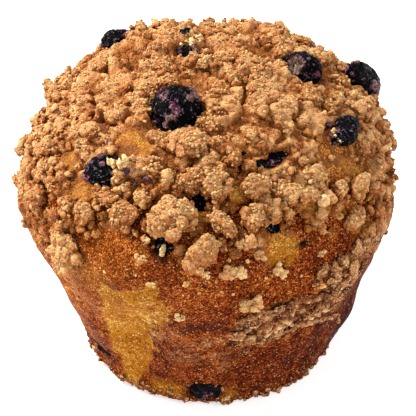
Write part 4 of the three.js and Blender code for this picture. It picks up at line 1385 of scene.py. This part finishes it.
def berry(name, index):
    """A wrinkled berry with its split skin, its pale pulp and its hollow end."""
    centre, axes, radii = BERRY_FRAMES[name]
    azimuth, climb, *_, flesh_share = BERRIES[name]
    on_crown = climb > 1
    fine = radii[0] > 4.5 and on_crown and climb < 1.9 and azimuth < 30
    unit, faces = BALLS[6 if fine else 5]
    local = unit * radii
    height, ridge = wrinkles(local, 80 + 7 * index)
    ridge *= 1 if on_crown else 0.7
    height += (0.6 if on_crown else 0.8) * value_noise(local, 3.4 if on_crown else 1.8, 120 + index)
    ragged = value_noise(local, 1.3, 140 + index) + 0.5 * value_noise(local, 0.55, 141 + index)
    ragged += 0.4 * value_noise(local, 0.3, 142 + index)
    flesh = smooth_step(value_noise(unit, 0.7, 150 + index) + 0.4 * ragged, 0.85 - 0.5 * flesh_share, 1.0)
    pulp = np.zeros(len(unit))
    way = unit @ axes.T
    across, up, front = way[:, 0], way @ VIEW_UP, way @ VIEW_BACK > 0
    if name in FLESH:
        flesh[front] = 0
    for u, v, reach, pale in FLESH.get(name, ()):
        patch = np.exp(-((across - u) ** 2 + (up - v) ** 2) / reach ** 2) * front
        patch = smooth_step(patch + 0.6 * ragged * (patch > 0.1), 0.4, 0.6)
        flesh, pulp = np.maximum(flesh, patch), np.maximum(pulp, pale * patch)
    mouth = hollow_end(name, axes)
    if mouth is not None:
        angle = np.arccos(np.clip(unit @ mouth, -1, 1)) / DEGREE + 8 * ragged
        height += 0.5 * np.exp(-((angle - 37) / 7) ** 2) - 1.7 * (1 - smooth_step(angle, 14, 33))
        flesh = np.maximum(flesh, smooth_step(angle, 32, 26))
        pulp = np.maximum(pulp, smooth_step(angle, 30, 24))
    height += (0.4 * flesh + 0.08) * (0.6 + ragged)
    shape = local * (0.96 + height / np.linalg.norm(local, axis=1))[:, None]
    values = {"ridge": ridge, "flesh": flesh, "pulp": pulp}
    return new_object(name + "_skin", centre + shape @ axes.T, faces, values, SKIN)


def berry_scraps():
    """Small scraps of skin and flesh among the crumbs."""
    parts = []
    ball, faces = BALLS[3]
    for index, (azimuth, climb, length, turn, flesh) in enumerate(SCRAPS):
        base, axes = place_on(topping_ground, azimuth, climb, turn)
        local = ball * np.array([0.44, 0.3, 0.26]) * length
        height, ridge = wrinkles(local, 300 + 7 * index)
        ragged = value_noise(local, 0.7, 400 + index)
        local *= (1 + (2 * height + 0.18 * ragged * length) / np.linalg.norm(local, axis=1))[:, None]
        share = smooth_step(ragged, 0.9 - 1.9 * flesh, 1.1 - 1.7 * flesh)
        centre = base + 0.15 * length * axes[:, 2]
        parts.append((centre + local @ axes.T, faces, {"ridge": ridge, "flesh": share, "pulp": 0.2 * share}))
    return new_object("berry_scraps", *joined(parts), SKIN)


# ---- put together ----

cake = crust()
crumbs = topping() + [loose_crumbs(), base_crumbs()]
ledge = torn_ledge()
scraps = berry_scraps()
berries = {name: berry(name, index) for index, name in enumerate(BERRIES)}

for piece in [cake, ledge] + crumbs:
    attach(piece, "root")
    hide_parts("muffin")
for name, piece in berries.items():
    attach(piece, "root")
    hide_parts(name)
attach(scraps, "root")
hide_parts("muffin")

# ---- stage, light and camera ----

FLOOR_SIDE = 1500.0
FLOOR_GLOW = 0.6


def floor_look(shader):
    base = shader.mix(shader.noise(6.0, 0.55), (246, 246, 246), (240, 240, 240))
    bump = shader.add("Bump", None, Strength=0.02, Height=shader.noise(90.0, 0.55))
    return base, 0.9, bump.outputs[0]


def plain_floor():
    corners = FLOOR_SIDE * np.array([(-1, -1, 0), (1, -1, 0), (1, 1, 0), (-1, 1, 0)])
    material = finish_material("pale_floor", floor_look, specular=0.1)
    shine = material.node_tree.nodes["Principled BSDF"].inputs
    shine["Emission Color"].default_value = (1, 1, 1, 1)
    shine["Emission Strength"].default_value = FLOOR_GLOW
    return new_object("floor", corners, np.array([[0, 1, 2, 3]]), {}, material)


plain_floor()

SKY_STRENGTH = 0.56
LIGHT_TARGET_HEIGHT = 0.04

scene = bpy.context.scene
scene.view_settings.view_transform = "Standard"
world = bpy.data.worlds.new("studio")
world.use_nodes = True
sky = world.node_tree.nodes["Background"].inputs
sky["Color"].default_value = (1.0, 0.99, 0.98, 1)
sky["Strength"].default_value = SKY_STRENGTH
scene.world = world


def area_light(name, azimuth, elevation, distance, size, watts, tint):
    """A round light that shines on the cake; distance and size in metres."""
    light = bpy.data.lights.new(name, "AREA")
    light.shape = "DISK"
    light.size = size
    light.energy = watts
    light.color = tint
    lamp = bpy.data.objects.new(name, light)
    a, e = azimuth * DEGREE, elevation * DEGREE
    lamp.location = np.array([math.cos(a) * math.cos(e), math.sin(a) * math.cos(e), math.sin(e)]) * distance
    lamp.location.z += LIGHT_TARGET_HEIGHT
    lamp.rotation_euler = (math.pi / 2 - e, 0, a + math.pi / 2)
    scene.collection.objects.link(lamp)


area_light("key", 165, 50, 0.8, 0.24, 9.9, (1.0, 0.97, 0.91))
area_light("fill", -40, 30, 0.9, 0.5, 2.75, (1, 1, 1))

# The camera stands 60 centimetres off. It looks at the middle of the cake, moved a little along its own axes,
# where a millimetre spans this many pixels of a picture of that width.
VIEW_DISTANCE = 600
VIEW_PIXELS = 416
PIXELS_PER_MILLIMETRE = 4.09
VIEW_SENSOR = 36
VIEW_MIDDLE = np.array([-0.2445, 0, 38]) - OUTLINE_MIDDLE - 0.66 * VIEW_UP

lens = bpy.data.cameras.new("camera")
lens.sensor_width = VIEW_SENSOR
lens.lens = VIEW_SENSOR * VIEW_DISTANCE * PIXELS_PER_MILLIMETRE / VIEW_PIXELS
lens.clip_start = 0.01
camera = bpy.data.objects.new("camera", lens)
camera.location = (VIEW_MIDDLE + VIEW_DISTANCE * VIEW_BACK) * MM
camera.rotation_euler = (math.pi / 2 - VIEW_RISE, 0, 0)
scene.collection.objects.link(camera)
scene.camera = camera
